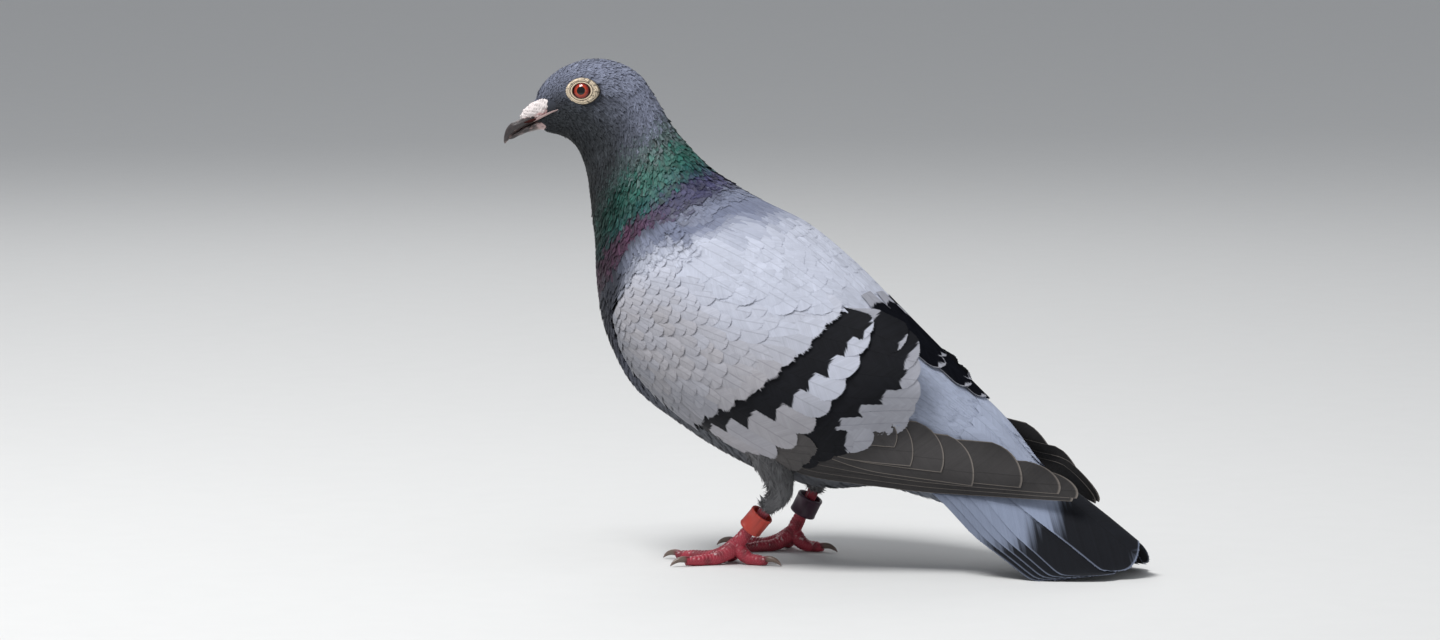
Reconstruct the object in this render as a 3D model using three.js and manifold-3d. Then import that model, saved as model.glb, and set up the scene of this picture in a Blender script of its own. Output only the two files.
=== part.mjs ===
// A homing pigeon standing on level ground with its head turned to its left.
// Millimetres. It heads along -Y, its left side is +X and up is +Z.
// The soles and the tips of the closed tail rest on Z = 0.
import * as THREE from "three";
import Module from "manifold-3d";
import { mergeVertices } from "three/addons/utils/BufferGeometryUtils.js";

// ---- Driving dimensions ----------------------------------------------------

const GAP = 0.4; // clearance between neighbouring parts
const CENTRE_Y = 28.45; // middle of the bird from bill tip to tail tip
const HEAD_YAW = 25; // degrees the head is turned to the left
const NECK_PIVOT_Y = -48; // the neck turns about an upright line through here
const SIDES = [
  { name: "left", sign: 1, tuck: 0, tipDrop: 0 },
  { name: "right", sign: -1, tuck: 16, tipDrop: 3.5 }, // this wing lies lower
];

// The body from face to tail root. Each section has a point on the top line and one on
// the underline, both as [along, up], and half its width.
const BODY = [
  { at: "face", top: [-88.6, 167.6], low: [-86.6, 157.6], half: 3.8 },
  { at: "forehead", top: [-85.0, 174.0], low: [-83.0, 155.9], half: 6.0 },
  { at: "brow", top: [-79.0, 179.2], low: [-78.6, 154.9], half: 9.5 },
  { at: "eye", top: [-72.0, 182.3], low: [-74.4, 152.6], half: 11.8 },
  { at: "crown", top: [-65.0, 183.3], low: [-71.4, 148.8], half: 12.5 },
  { at: "poll", top: [-57.0, 181.9], low: [-69.6, 144.0], half: 12.7 },
  { at: "nape", top: [-49.0, 177.2], low: [-68.2, 138.0], half: 13.2 },
  { at: "occiput", top: [-43.2, 168.8], low: [-67.4, 131.0], half: 14.6 },
  { at: "upper neck", top: [-37.5, 159.0], low: [-66.4, 122.5], half: 17.5 },
  { at: "middle neck", top: [-30.5, 150.8], low: [-65.0, 113.0], half: 21.5 },
  { at: "lower neck", top: [-21.5, 142.6], low: [-63.4, 101.5], half: 26.5 },
  { at: "collar", top: [-9.0, 136.3], low: [-60.6, 88.0], half: 32 },
  { at: "shoulder", top: [4.0, 130.6], low: [-55.0, 74.0], half: 36.5 },
  { at: "breast", top: [16.3, 125.0], low: [-45.5, 60.0], half: 39 },
  { at: "keel", top: [28.6, 116.5], low: [-30.0, 49.4], half: 39.5 },
  { at: "back", top: [41.0, 106.5], low: [-12.0, 39.2], half: 38.5 },
  { at: "belly", top: [54.0, 94.5], low: [6.5, 31.6], half: 35.5 },
  { at: "loin", top: [69.5, 80.5], low: [29.0, 27.0], half: 30 },
  { at: "rump", top: [85.5, 66.0], low: [51.0, 28.5], half: 23.5 },
  { at: "vent", top: [98.5, 54.5], low: [73.0, 24.0], half: 18 },
  { at: "tail root", top: [110.0, 41.0], low: [92.0, 19.5], half: 14 },
  { at: "tail coverts", top: [119.0, 32.0], low: [109.0, 17.5], half: 10 },
];
const BODY_AROUND = 20; // corners of each section
const HEAD_END = 7.0; // sections counted from 0 at the face
const NECK_END = 11.0;
const TRUNK_END = 18.5;
const YAW_ENDS = [6.0, 11.0]; // the turn of the neck fades out between these

const BILL = {
  root: [-84.0, 161.6],
  tip: [-99.6, 152.6],
  upper: { depth: 5.8, half: 3.9 },
  lower: { root: [-82.0, 158.7], tip: [-95.2, 154.9], depth: 2.8, half: 3.4 },
};
const CERE = { at: [-87.0, 164.9], size: [6.3, 2.7, 3.5], spread: 2.3, tilt: 24 };
const EYE = { at: [-69.9, 171.5], out: 8.9, radius: 4.2 };
const ORBIT = { length: 10.4, height: 8.4, tube: 1.05, out: 11.35, turn: 12, lean: 9 };

// The folded wing: sections from wrist to tertial tips, each an arc through three points
// [out, along, up] and the thickness in its middle.
const WING = [
  { low: [38.5, -41, 75.5], mid: [43.5, -40.5, 91], top: [38.5, -37, 107], thick: 6 },
  { low: [36, -30, 61], mid: [45, -27, 85], top: [35, -22, 119], thick: 8.5 },
  { low: [35, -14, 51], mid: [45.5, -8, 79], top: [29, -2, 123], thick: 10 },
  { low: [34, 0, 43.5], mid: [45.5, 10, 73], top: [25, 16, 118], thick: 10 },
  { low: [33, 18, 37.5], mid: [43.5, 28, 67], top: [22.5, 34, 107], thick: 9 },
  { low: [32, 38, 37.5], mid: [39.5, 46, 62], top: [22, 52, 95.5], thick: 7 },
  { low: [30, 54, 45], mid: [33.5, 62, 64], top: [22.5, 66, 85.5], thick: 4.5 },
];
const WING_FRONT = [42.5, -44.5, 91.5];
const WING_REAR = [25, 77.5, 71];

// Flight feathers that reach past the wing: tip [out, along, up] and width, inner first.
const PRIMARIES = [
  { tip: [25.0, 76, 46.5], width: 19 },
  { tip: [22.0, 88, 43.5], width: 19 },
  { tip: [18.5, 100, 40.5], width: 18 },
  { tip: [14.0, 115, 37.0], width: 15 },
  { tip: [7.0, 133.5, 31.5], width: 10 },
];
const PRIMARY_ROOT = { first: [32, 26, 47], last: [32, 33, 35.5] };
const PRIMARY_FACE = [1, 0.2, 0.5]; // the blades face out and a little up
const TERTIAL_FACE = [1, 0.25, 0.35];
const TERTIALS = [
  { root: [28, 40, 92], tip: [24.0, 75.5, 79.5], width: 14 },
  { root: [32, 38, 78], tip: [26.0, 78.5, 69.5], width: 14 },
];
const FEATHER_THICK = 1.5;
const BLADE_ON_GROUND = 0.55; // height of the middle of a blade that lies on the ground

// Half of the closed tail, middle feather first: where each tip lies and how wide it is.
const TAIL_FEATHERS = [
  { out: 1.5, along: 151.5, width: 27 },
  { out: 12, along: 147.0, width: 26 },
  { out: 16, along: 143.5, width: 25 },
  { out: 19, along: 139.5, width: 23 },
  { out: 21.5, along: 134.5, width: 20 },
];
const TAIL_SAG = -3.2; // bow of each tail feather between root and tip
const TAIL = {
  middle: [150, 5.5], // [along, up] of the end of its middle line
  rise: [0.52, 0.006], // of the middle line towards the root: linear and square parts
  roof: [0.3, 0.0095], // fall to the side: linear and square parts
  roll: 6, // degrees, left side down
  layer: 0.85, // each feather lies this much under the one inside it
  root: { middle: [0.5, 96, 44], outer: [10, 86, 27], tilt: [12, 60] },
};

const LEGS = {
  left: { thigh: [24, 9, 55], knee: [25.5, 16, 41], hock: [26, 20.5, 27.5],
    ankle: [26, 2.5, 7.2], ring: 0.44, toes: [47, -8, -50] },
  right: { thigh: [-23, 7, 57], knee: [-23, 14, 45], hock: [-22, 17, 32.5],
    ankle: [-22, 3.5, 7.2], ring: 0.40, toes: [-52, -3, 44] },
};
const SHANK = { top: 2.5, waist: 1.95, foot: 2.6 };
const TOE_NAMES = ["outer", "middle", "inner"];
const TOE_LENGTHS = [20, 26, 19];
const HIND_TOE = { length: 12.5, heading: 176 };
const TOE = { base: 2.6, tip: 1.95, axisHeight: 1.75, pad: 0.28 };
const CLAW = { length: 6.2, radius: 1.15 };
const RINGS = {
  left: { length: 7.8, outer: 4.5, inner: 3.7 },
  right: { length: 7.4, outer: 4.9, inner: 4.0 },
};

const PLUMAGE = { color: 0xc1c3cb, roughness: 0.85, metalness: 0 };
const HEAD_PLUMAGE = { color: 0x565c6a, roughness: 0.8, metalness: 0 };
const NECK_PLUMAGE = { color: 0x3f6f69, roughness: 0.6, metalness: 0 };
const TAIL_PLUMAGE = { color: 0x6e788a, roughness: 0.8, metalness: 0 };
const LEG_PLUMAGE = { color: 0x77787c, roughness: 0.9, metalness: 0 };
const FOOT_SKIN = { color: 0xb44650, roughness: 0.6, metalness: 0 };
const PALE_SKIN = { color: 0xe6d6d0, roughness: 0.8, metalness: 0 };
const HORN = { color: 0x3c3735, roughness: 0.35, metalness: 0 };
const IRIS = { color: 0xbe3c19, roughness: 0.08, metalness: 0 };
const RING_COLOURS = {
  left: { color: 0xd74b32, roughness: 0.45, metalness: 0 },
  right: { color: 0x4b3246, roughness: 0.5, metalness: 0 },
};

// ---- Small helpers ----------------------------------------------------------

const wasm = await Module();
wasm.setup();

const rad = THREE.MathUtils.degToRad;
const mix = THREE.MathUtils.lerp;
const vec = (p) => new THREE.Vector3(...p);

// A closed manifold solid from corners and triangles, turned to face outwards.
function solidFrom(corners, triangles) {
  const geometry = new THREE.BufferGeometry();
  geometry.setAttribute("position", new THREE.Float32BufferAttribute(corners, 3));
  geometry.setIndex(triangles);
  return solidOf(geometry);
}

function solidOf(geometry) {
  geometry.deleteAttribute("normal");
  geometry.deleteAttribute("uv");
  const welded = mergeVertices(geometry, 1e-4);
  const vertProperties = new Float32Array(welded.attributes.position.array);
  const triVerts = new Uint32Array(welded.index.array);
  const made = new wasm.Manifold(new wasm.Mesh({ numProp: 3, vertProperties, triVerts }));
  if (made.volume() > 0) return made;
  return new wasm.Manifold(
    new wasm.Mesh({ numProp: 3, vertProperties, triVerts: triVerts.reverse() }),
  );
}

function geometryOf(solid) {
  const mesh = solid.getMesh();
  const geometry = new THREE.BufferGeometry();
  const corners = new Float32Array(mesh.vertProperties);
  geometry.setAttribute("position", new THREE.BufferAttribute(corners, 3));
  geometry.setIndex(new THREE.BufferAttribute(new Uint32Array(mesh.triVerts), 1));
  return geometry;
}

// The solid with every corner moved out along its normal.
function grown(solid, by) {
  const geometry = geometryOf(solid);
  geometry.computeVertexNormals();
  const place = geometry.attributes.position;
  const normal = geometry.attributes.normal;
  for (let i = 0; i < place.count; i++) {
    place.setXYZ(
      i,
      place.getX(i) + by * normal.getX(i),
      place.getY(i) + by * normal.getY(i),
      place.getZ(i) + by * normal.getZ(i),
    );
  }
  return solidOf(geometry);
}

// A solid clear of its neighbours, which keep their own shape.
function clearOf(solid, ...neighbours) {
  return mainBody(neighbours.reduce((left, other) => left.subtract(grown(other, GAP)), solid));
}

// The largest body of a solid, without crumbs or bubbles left by a cut.
function mainBody(solid) {
  return solid.decompose().reduce((most, one) => (one.volume() > most.volume() ? one : most));
}

function union(solids) {
  return solids.reduce((all, one) => all.add(one));
}

// A closed solid through rings of Vector3, each end closed by a fan to its middle.
function loft(rings) {
  const around = rings[0].length;
  const corners = rings.flat().flatMap((p) => p.toArray());
  const triangles = [];
  for (let r = 0; r + 1 < rings.length; r++) {
    for (let i = 0; i < around; i++) {
      const a = r * around + i;
      const b = r * around + ((i + 1) % around);
      triangles.push(a, b, a + around, b, b + around, a + around);
    }
  }
  const ends = [
    [0, 1],
    [rings.length - 1, -1],
  ];
  for (const [r, turn] of ends) {
    const middle = corners.length / 3;
    const centre = rings[r].reduce((sum, p) => sum.add(p), vec([0, 0, 0]));
    corners.push(...centre.divideScalar(around).toArray());
    for (let i = 0; i < around; i++) {
      const a = r * around + i;
      const b = r * around + ((i + 1) % around);
      if (turn > 0) triangles.push(b, a, middle);
      else triangles.push(a, b, middle);
    }
  }
  return solidFrom(corners, triangles);
}

// A round tube along a smooth path; radiusAt takes 0 at the start and 1 at the end.
function tube(path, radiusAt, steps, around) {
  const curve = new THREE.CatmullRomCurve3(path.map(vec));
  const rings = [];
  for (let s = 0; s <= steps; s++) {
    const t = s / steps;
    const along = curve.getTangentAt(t);
    const side = new THREE.Vector3(1, 0, 0).cross(along).normalize();
    const other = along.clone().cross(side);
    const centre = curve.getPointAt(t);
    rings.push(
      Array.from({ length: around }, (_, i) => {
        const turn = (2 * Math.PI * i) / around;
        return centre
          .clone()
          .addScaledVector(side, radiusAt(t) * Math.cos(turn))
          .addScaledVector(other, radiusAt(t) * Math.sin(turn));
      }),
    );
  }
  return loft(rings);
}

// Mirrors a solid built for the left side when the side is the right one.
function forSide(solid, side) {
  return side.sign > 0 ? solid : solid.mirror([1, 0, 0]);
}

// ---- Body -------------------------------------------------------------------

const line = (key) =>
  new THREE.CatmullRomCurve3(
    BODY.map((s) => new THREE.Vector3(0, ...s[key])),
    false,
    "catmullrom",
    0.5,
  );
const TOP_LINE = line("top");
const LOW_LINE = line("low");
const HALF_WIDTHS = new THREE.SplineCurve(BODY.map((s, i) => new THREE.Vector2(i, s.half)));

// Turns a point of the straight bird with the neck; section counts from the face.
function turned(point, section) {
  const share = 1 - THREE.MathUtils.smoothstep(section, ...YAW_ENDS);
  const pivot = new THREE.Vector3(0, NECK_PIVOT_Y, 0);
  return point.sub(pivot).applyAxisAngle(vec([0, 0, 1]), rad(HEAD_YAW) * share).add(pivot);
}

// One section of the body as a ring of points, widest a little below its middle.
function bodyRing(section) {
  const t = section / (BODY.length - 1);
  const top = TOP_LINE.getPoint(t);
  const low = LOW_LINE.getPoint(t);
  const half = HALF_WIDTHS.getPoint(t).y;
  const middle = top.clone().add(low).multiplyScalar(0.5);
  const reach = top.clone().sub(low).multiplyScalar(0.5);
  return Array.from({ length: BODY_AROUND }, (_, i) => {
    const turn = (2 * Math.PI * i) / BODY_AROUND;
    const rise = Math.cos(turn);
    const across = Math.sign(Math.sin(turn)) * Math.abs(Math.sin(turn)) ** 0.92;
    const point = middle.clone().addScaledVector(reach, rise);
    point.x = half * across * (1 - 0.07 * rise);
    return turned(point, section);
  });
}

function bodyPiece(from, to, steps) {
  const rings = [];
  for (let s = 0; s <= steps; s++) rings.push(bodyRing(mix(from, to, s / steps)));
  return loft(rings);
}

// A point of the head given as [along, up] before the head turns.
function onHead(out, [along, up]) {
  return turned(new THREE.Vector3(out, along, up), 0);
}

// Moves a solid built about the origin, heading along -Y, onto the turned head.
function placedOnHead(solid, out, place) {
  return solid.rotate([0, 0, HEAD_YAW]).translate(onHead(out, place).toArray());
}

// ---- Bill, cere and eyes ------------------------------------------------------

// Half of the bill: a cone whose axis droops from root to tip.
function billHalf({ root, tip, depth, half, droop, above }) {
  const rings = [];
  const steps = 6;
  for (let s = 0; s <= steps; s++) {
    const t = s / steps;
    const taper = Math.sqrt(1 - (0.985 * t) ** 1.7);
    const along = mix(root[0], tip[0], t);
    const up = mix(root[1], tip[1], t) + droop * Math.sin(Math.PI * t);
    rings.push(
      Array.from({ length: 12 }, (_, i) => {
        const turn = (2 * Math.PI * i) / 12;
        const side = Math.cos(turn) * half * taper;
        const rise = Math.sin(turn);
        const share = rise > 0 ? above : 1 - above;
        return onHead(side, [along, up + rise * share * depth * taper]);
      }),
    );
  }
  return loft(rings);
}

function billUpper() {
  const { root, tip, upper } = BILL;
  return billHalf({ root, tip, ...upper, droop: 1.1, above: 0.55 });
}

function billLower() {
  return billHalf({ ...BILL.lower, droop: -0.2, above: 0.45 });
}

// Two soft swellings side by side over the root of the bill.
function cere() {
  const [long, wide, high] = CERE.size;
  const lobes = [-1, 1].map((sign) => {
    const ball = solidOf(new THREE.SphereGeometry(1, 10, 8));
    return ball
      .scale([wide, long, high])
      .rotate([CERE.tilt, 0, sign * 9])
      .translate([sign * CERE.spread, 0, 0]);
  });
  return placedOnHead(union(lobes), 0, CERE.at);
}

function eye(side) {
  const ball = solidOf(new THREE.SphereGeometry(EYE.radius, 12, 8));
  return placedOnHead(ball, side.sign * EYE.out, EYE.at);
}

// The bare ring of skin round the eye, leaning with the side of the head.
function orbit(side) {
  const ring = new THREE.TorusGeometry(1, 0.24, 4, 14);
  ring.scale(ORBIT.length / 2, ORBIT.height / 2, ORBIT.tube / 0.24);
  ring.rotateX(rad(90));
  ring.rotateZ(rad(90));
  const leaning = solidOf(ring).rotate([0, -ORBIT.lean, -ORBIT.turn]);
  return placedOnHead(forSide(leaning, side), side.sign * ORBIT.out, EYE.at);
}

// ---- Feathers, wings and tail --------------------------------------------------

// The rings of a flat feather with a round tip. across gives the direction of its width
// at the root and at the tip, face the side it shows, and room a margin all round it.
// A blade that would pass below the ground lies flat on it instead.
function featherRings({ root, tip, width, across, face, bow, room = 0 }) {
  const outline = [
    { u: -1, lift: 0 },
    { u: 0, lift: 1 },
    { u: 1, lift: 0 },
    { u: 0, lift: -1 },
  ];
  const steps = [0, 0.45, 0.8, 0.93, 1];
  const end = tip.clone().add(tip.clone().sub(root).setLength(room + 1e-6));
  return steps.map((t) => {
    const round = Math.sqrt(Math.max(0, 1 - (Math.max(0, t - 0.8) / 0.205) ** 2.2));
    const centre = root.clone().lerp(end, t).addScaledVector(face, bow * Math.sin(Math.PI * t));
    const wide = across[0].clone().lerp(across[1], t).normalize();
    const half = (width * mix(0.75, 1, t) * round) / 2 + room;
    return outline.map(({ u, lift }) => {
      const point = centre.clone().addScaledVector(wide, u * half);
      point.z = Math.max(point.z, BLADE_ON_GROUND);
      return point.addScaledVector(face, lift * (FEATHER_THICK / 2 + room));
    });
  });
}

// One section of the wing as a lens bent along the arc through its three points, with
// room as a margin all round it.
function wingRing({ low, mid, top, thick }, room) {
  const chord = top.clone().sub(low).normalize();
  const start = low.clone().addScaledVector(chord, -room);
  const end = top.clone().addScaledVector(chord, room);
  const pull = mid.clone().multiplyScalar(2).addScaledVector(start.clone().add(end), -0.5);
  const arc = new THREE.QuadraticBezierCurve3(start, pull, end);
  const out = vec([1, 0, 0]).addScaledVector(chord, -chord.x).normalize();
  const steps = 6;
  const reach = (t) => (thick / 2 + 1.5 * room) * Math.sin(Math.PI * t) ** 0.8;
  const side = (t, sign) => arc.getPoint(t).addScaledVector(out, sign * reach(t));
  const outer = Array.from({ length: steps + 1 }, (_, i) => side(i / steps, 1));
  const inner = Array.from({ length: steps - 1 }, (_, i) => side(1 - (i + 1) / steps, -1));
  return outer.concat(inner);
}

// Sections at and between the given ones, by splines through their points.
function wingRings(room) {
  const splines = ["low", "mid", "top"].map(
    (key) => new THREE.CatmullRomCurve3(WING.map((s) => vec(s[key]))),
  );
  const thick = new THREE.SplineCurve(WING.map((s, i) => new THREE.Vector2(i, s.thick)));
  const count = 8;
  return Array.from({ length: count + 1 }, (_, i) => {
    const t = i / count;
    const [low, mid, top] = splines.map((s) => s.getPoint(t));
    return wingRing({ low, mid, top, thick: thick.getPoint(t).y }, room);
  });
}

// The end ring drawn in towards a point, which rounds the end of the wing.
function drawnIn(ring, point, share) {
  return ring.map((p) => p.clone().lerp(vec(point), share));
}

// A point of the left wing moved to its place in the wing of either side.
function folded(point, side) {
  const back = THREE.MathUtils.smoothstep(point.y, 5, 70);
  const high = THREE.MathUtils.smoothstep(point.z, 48, 85);
  const far = THREE.MathUtils.smoothstep(point.y, 80, 130);
  const drop = side.tuck * back * high + side.tipDrop * far;
  return new THREE.Vector3(side.sign * point.x, point.y, point.z - drop);
}

function shieldRings(room) {
  const rings = wingRings(room);
  const first = rings[0];
  const last = rings[rings.length - 1];
  return [
    drawnIn(first, WING_FRONT, 0.9),
    drawnIn(first, WING_FRONT, 0.5),
    ...rings,
    drawnIn(last, WING_REAR, 0.5),
    drawnIn(last, WING_REAR, 0.88),
  ];
}

// A flight feather of the wing, its blade turned to show the given side.
function wingFeatherRings({ root, tip, width, bow, facing, room }) {
  const along = tip.clone().sub(root).normalize();
  const face = vec(facing);
  face.addScaledVector(along, -face.dot(along)).normalize();
  const across = face.clone().cross(along);
  return featherRings({ root, tip, width, across: [across, across], face, bow, room });
}

function primaryRings(room) {
  return PRIMARIES.map(({ tip, width }, i) => {
    const share = i / (PRIMARIES.length - 1);
    const root = vec(PRIMARY_ROOT.first).lerp(vec(PRIMARY_ROOT.last), share);
    return wingFeatherRings({ root, tip: vec(tip), width, bow: 2, facing: PRIMARY_FACE, room });
  });
}

function tertialRings(room) {
  return TERTIALS.map(({ root, tip, width }) => {
    const ends = { root: vec(root), tip: vec(tip) };
    return wingFeatherRings({ ...ends, width, bow: 1, facing: TERTIAL_FACE, room });
  });
}

// A wing, or with room the space that its neighbours leave to it.
function wing(side, room) {
  const pieces = [shieldRings(room), ...primaryRings(room), ...tertialRings(room)];
  return union(pieces.map((rings) => loft(rings.map((r) => r.map((p) => folded(p, side))))));
}

// Height of the tail's roof over a point of the plan.
function tailHeight(out, along) {
  const [middleAlong, middleUp] = TAIL.middle;
  const back = middleAlong - along;
  const rise = TAIL.rise[0] * back + TAIL.rise[1] * back * back;
  const fall = TAIL.roof[0] * out + TAIL.roof[1] * out * out;
  const roll = out * Math.sin(rad(TAIL.roll));
  return [middleUp + rise - fall - roll, middleUp + rise - fall + roll];
}

// One tail feather; rank 0 is next to the middle. The whole fan is rolled to the left.
function tailFeather(rank, side) {
  const share = rank / (TAIL_FEATHERS.length - 1);
  const { out, along, width } = TAIL_FEATHERS[rank];
  const under = rank * TAIL.layer + (side.sign < 0 ? TAIL.layer / 2 : 0);
  const root = vec(TAIL.root.middle).lerp(vec(TAIL.root.outer), share);
  const height = tailHeight(out, along)[side.sign > 0 ? 0 : 1];
  const tip = new THREE.Vector3(out, along, height - under);
  const tipTilt = tailTilt(out) + side.sign * TAIL.roll;
  const lie = tip.clone().sub(root).normalize();
  const across = [mix(...TAIL.root.tilt, share), tipTilt].map((degrees) =>
    vec([Math.cos(rad(degrees)), 0, -Math.sin(rad(degrees))]),
  );
  const face = across[1].clone().cross(lie).negate().normalize();
  return forSide(loft(featherRings({ root, tip, width, across, face, bow: TAIL_SAG })), side);
}

// Tilt in degrees of the tail's roof at a distance from the middle.
function tailTilt(out) {
  return THREE.MathUtils.radToDeg(Math.atan(TAIL.roof[0] + 2 * TAIL.roof[1] * out));
}

function tailFan() {
  return union(
    SIDES.flatMap((side) => TAIL_FEATHERS.map((_, rank) => tailFeather(rank, side))),
  );
}

function tail() {
  const root = bodyPiece(TRUNK_END + 0.06, BODY.length - 1, 3);
  return mainBody(union([root, tailFan()]).intersect(aboveGround()));
}

// ---- Legs, feet and rings --------------------------------------------------------

function aboveGround() {
  const block = new THREE.BoxGeometry(400, 500, 300);
  block.translate(0, 0, 150);
  return solidOf(block);
}

function leg(name) {
  const { thigh, knee, hock, ankle } = LEGS[name];
  const end = vec(hock).lerp(vec(ankle), 0.22).toArray();
  const radii = new THREE.SplineCurve(
    [14, 9.5, 5.9, 3.9].map((r, i) => new THREE.Vector2(i, r)),
  );
  return tube([thigh, knee, hock, end], (t) => radii.getPoint(t).y, 5, 12);
}

function shank(name) {
  const { hock, ankle } = LEGS[name];
  const start = vec(hock).lerp(vec(ankle), 0.06).toArray();
  const radiusAt = (t) => mix(mix(SHANK.top, SHANK.waist, Math.min(1, 2 * t)), SHANK.foot, t ** 4);
  return tube([start, ankle], radiusAt, 4, 8);
}

// A toe from the ankle down to the ground and along it; heading is in degrees from
// straight ahead, positive to the left.
function toePath(ankle, heading, length) {
  const ahead = vec([Math.sin(rad(heading)), -Math.cos(rad(heading)), 0]);
  const drop = ankle[2] - TOE.axisHeight;
  const at = (reach, height) =>
    vec(ankle).addScaledVector(ahead, reach).setZ(height).toArray();
  return [
    ankle,
    at(length * 0.22, ankle[2] - drop * 0.62),
    at(length * 0.45, TOE.axisHeight + 0.25),
    at(length * 0.72, TOE.axisHeight),
    at(length, TOE.axisHeight),
  ];
}

function toe(ankle, heading, length) {
  const pads = Math.round(length / 6);
  const radiusAt = (t) =>
    mix(TOE.base, TOE.tip, t) + TOE.pad * Math.sin(pads * Math.PI * t) ** 2 - (t === 1 ? 0.9 : 0);
  return tube(toePath(ankle, heading, length), radiusAt, 6, 6);
}

// A hooked claw at the end of a toe, its point just off the ground.
function claw(ankle, heading, length) {
  const ahead = vec([Math.sin(rad(heading)), -Math.cos(rad(heading)), 0]);
  const at = (reach, height) =>
    vec(ankle).addScaledVector(ahead, length + reach).setZ(height).toArray();
  const path = [at(-1.2, 2.3), at(1.4, 2.5), at(CLAW.length * 0.7, 1.9), at(CLAW.length, 0.6)];
  return tube(path, (t) => CLAW.radius * mix(1, 0.22, t ** 1.3), 4, 5);
}

function toesOf(name) {
  const { toes } = LEGS[name];
  const front = TOE_NAMES.map((digit, i) => ({
    digit,
    heading: toes[i],
    length: TOE_LENGTHS[i],
  }));
  const hind = { digit: "hind", heading: HIND_TOE.heading, length: HIND_TOE.length };
  return [...front, hind];
}

function foot(name) {
  const { ankle } = LEGS[name];
  const toes = toesOf(name).map((t) => toe(ankle, t.heading, t.length));
  return union([shank(name), ...toes]).intersect(aboveGround());
}

// A band round the shank, drawn out along it.
function legRing(name) {
  const { hock, ankle, ring } = LEGS[name];
  const { length, outer, inner } = RINGS[name];
  const profile = [
    [inner, -length / 2],
    [outer, -length / 2],
    [outer, length / 2],
    [inner, length / 2],
    [inner, -length / 2],
  ].map(([r, h]) => new THREE.Vector2(r, h));
  const band = new THREE.LatheGeometry(profile, 20);
  const axis = vec(hock).sub(vec(ankle)).normalize();
  band.applyQuaternion(new THREE.Quaternion().setFromUnitVectors(vec([0, 1, 0]), axis));
  band.translate(...vec(ankle).lerp(vec(hock), ring).toArray());
  return solidOf(band);
}

// ---- Assembly ----------------------------------------------------------------------

const group = new THREE.Group();
group.name = "pigeon";
group.position.y = -CENTRE_Y;

function addPart(name, solid, look) {
  const mesh = new THREE.Mesh(geometryOf(solid), new THREE.MeshStandardMaterial(look));
  mesh.geometry.computeVertexNormals();
  mesh.name = name;
  group.add(mesh);
}

const wings = SIDES.map((side) => wing(side, 0));
const wingRooms = SIDES.map((side) => wing(side, GAP).add(wing(side, 0)));

function clearOfWings(solid) {
  return mainBody(wingRooms.reduce((left, room) => left.subtract(room), solid));
}

const eyes = SIDES.map(eye);
const orbits = SIDES.map(orbit);
const legs = SIDES.map((side) => leg(side.name));
const feet = SIDES.map((side) => foot(side.name));
const upperBill = billUpper();
const lowerBill = clearOf(billLower(), upperBill);
const cereLobes = clearOf(cere(), upperBill);

const faceParts = [...eyes, ...orbits, upperBill, lowerBill, cereLobes];
addPart("head", clearOf(bodyPiece(0, HEAD_END - 0.05, 8), ...faceParts), HEAD_PLUMAGE);
addPart("neck", clearOfWings(bodyPiece(HEAD_END, NECK_END, 5)), NECK_PLUMAGE);
const trunk = bodyPiece(NECK_END + 0.05, TRUNK_END, 9);
addPart("trunk", clearOfWings(clearOf(trunk, ...legs)), PLUMAGE);
addPart("tail", clearOfWings(tail()), TAIL_PLUMAGE);
addPart("bill_upper", upperBill, HORN);
addPart("bill_lower", lowerBill, HORN);
addPart("cere", cereLobes, PALE_SKIN);

SIDES.forEach(({ name }, i) => {
  addPart(`wing_${name}`, wings[i], PLUMAGE);
  addPart(`eye_${name}`, eyes[i], IRIS);
  addPart(`orbit_${name}`, clearOf(orbits[i], eyes[i]), PALE_SKIN);
  addPart(`leg_${name}`, clearOfWings(clearOf(legs[i], feet[i])), LEG_PLUMAGE);
  addPart(`ring_${name}`, legRing(name), RING_COLOURS[name]);
  const claws = toesOf(name).map((t) => ({
    digit: t.digit,
    solid: claw(LEGS[name].ankle, t.heading, t.length),
  }));
  addPart(`foot_${name}`, clearOf(feet[i], ...claws.map((c) => c.solid)), FOOT_SKIN);
  for (const { digit, solid } of claws) addPart(`claw_${name}_${digit}`, solid, HORN);
});

export default group;
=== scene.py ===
"""A standing homing pigeon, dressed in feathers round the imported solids.

Everything is worked out in millimetres in the bird's own frame: it heads along -Y, its left
side is +X, up is +Z, and the origin lies on the floor between its feet. Meshes are written in
metres in the row's frame, which lies CENTRE_Y further back.
"""

import math

import bpy
import numpy as np
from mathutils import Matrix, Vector
from mathutils.bvhtree import BVHTree


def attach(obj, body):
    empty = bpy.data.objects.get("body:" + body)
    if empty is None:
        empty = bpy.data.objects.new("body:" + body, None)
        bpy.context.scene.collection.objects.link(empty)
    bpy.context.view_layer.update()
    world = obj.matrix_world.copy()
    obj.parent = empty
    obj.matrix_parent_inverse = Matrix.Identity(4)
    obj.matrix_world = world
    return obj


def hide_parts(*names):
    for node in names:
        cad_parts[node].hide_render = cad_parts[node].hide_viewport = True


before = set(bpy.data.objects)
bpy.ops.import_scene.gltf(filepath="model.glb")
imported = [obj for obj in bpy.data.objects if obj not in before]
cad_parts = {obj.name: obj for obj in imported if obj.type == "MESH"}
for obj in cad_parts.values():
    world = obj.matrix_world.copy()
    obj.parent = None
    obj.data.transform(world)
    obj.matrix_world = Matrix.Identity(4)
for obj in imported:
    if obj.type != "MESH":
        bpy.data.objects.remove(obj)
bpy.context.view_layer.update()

# ---- Driving dimensions, mm ----------------------------------------------------------

MM = 0.001
CENTRE_Y = 28.45
HEAD_YAW = 25.0
NECK_PIVOT_Y = -48.0
YAW_ENDS = (6.0, 11.0)
SEED = 11

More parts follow.
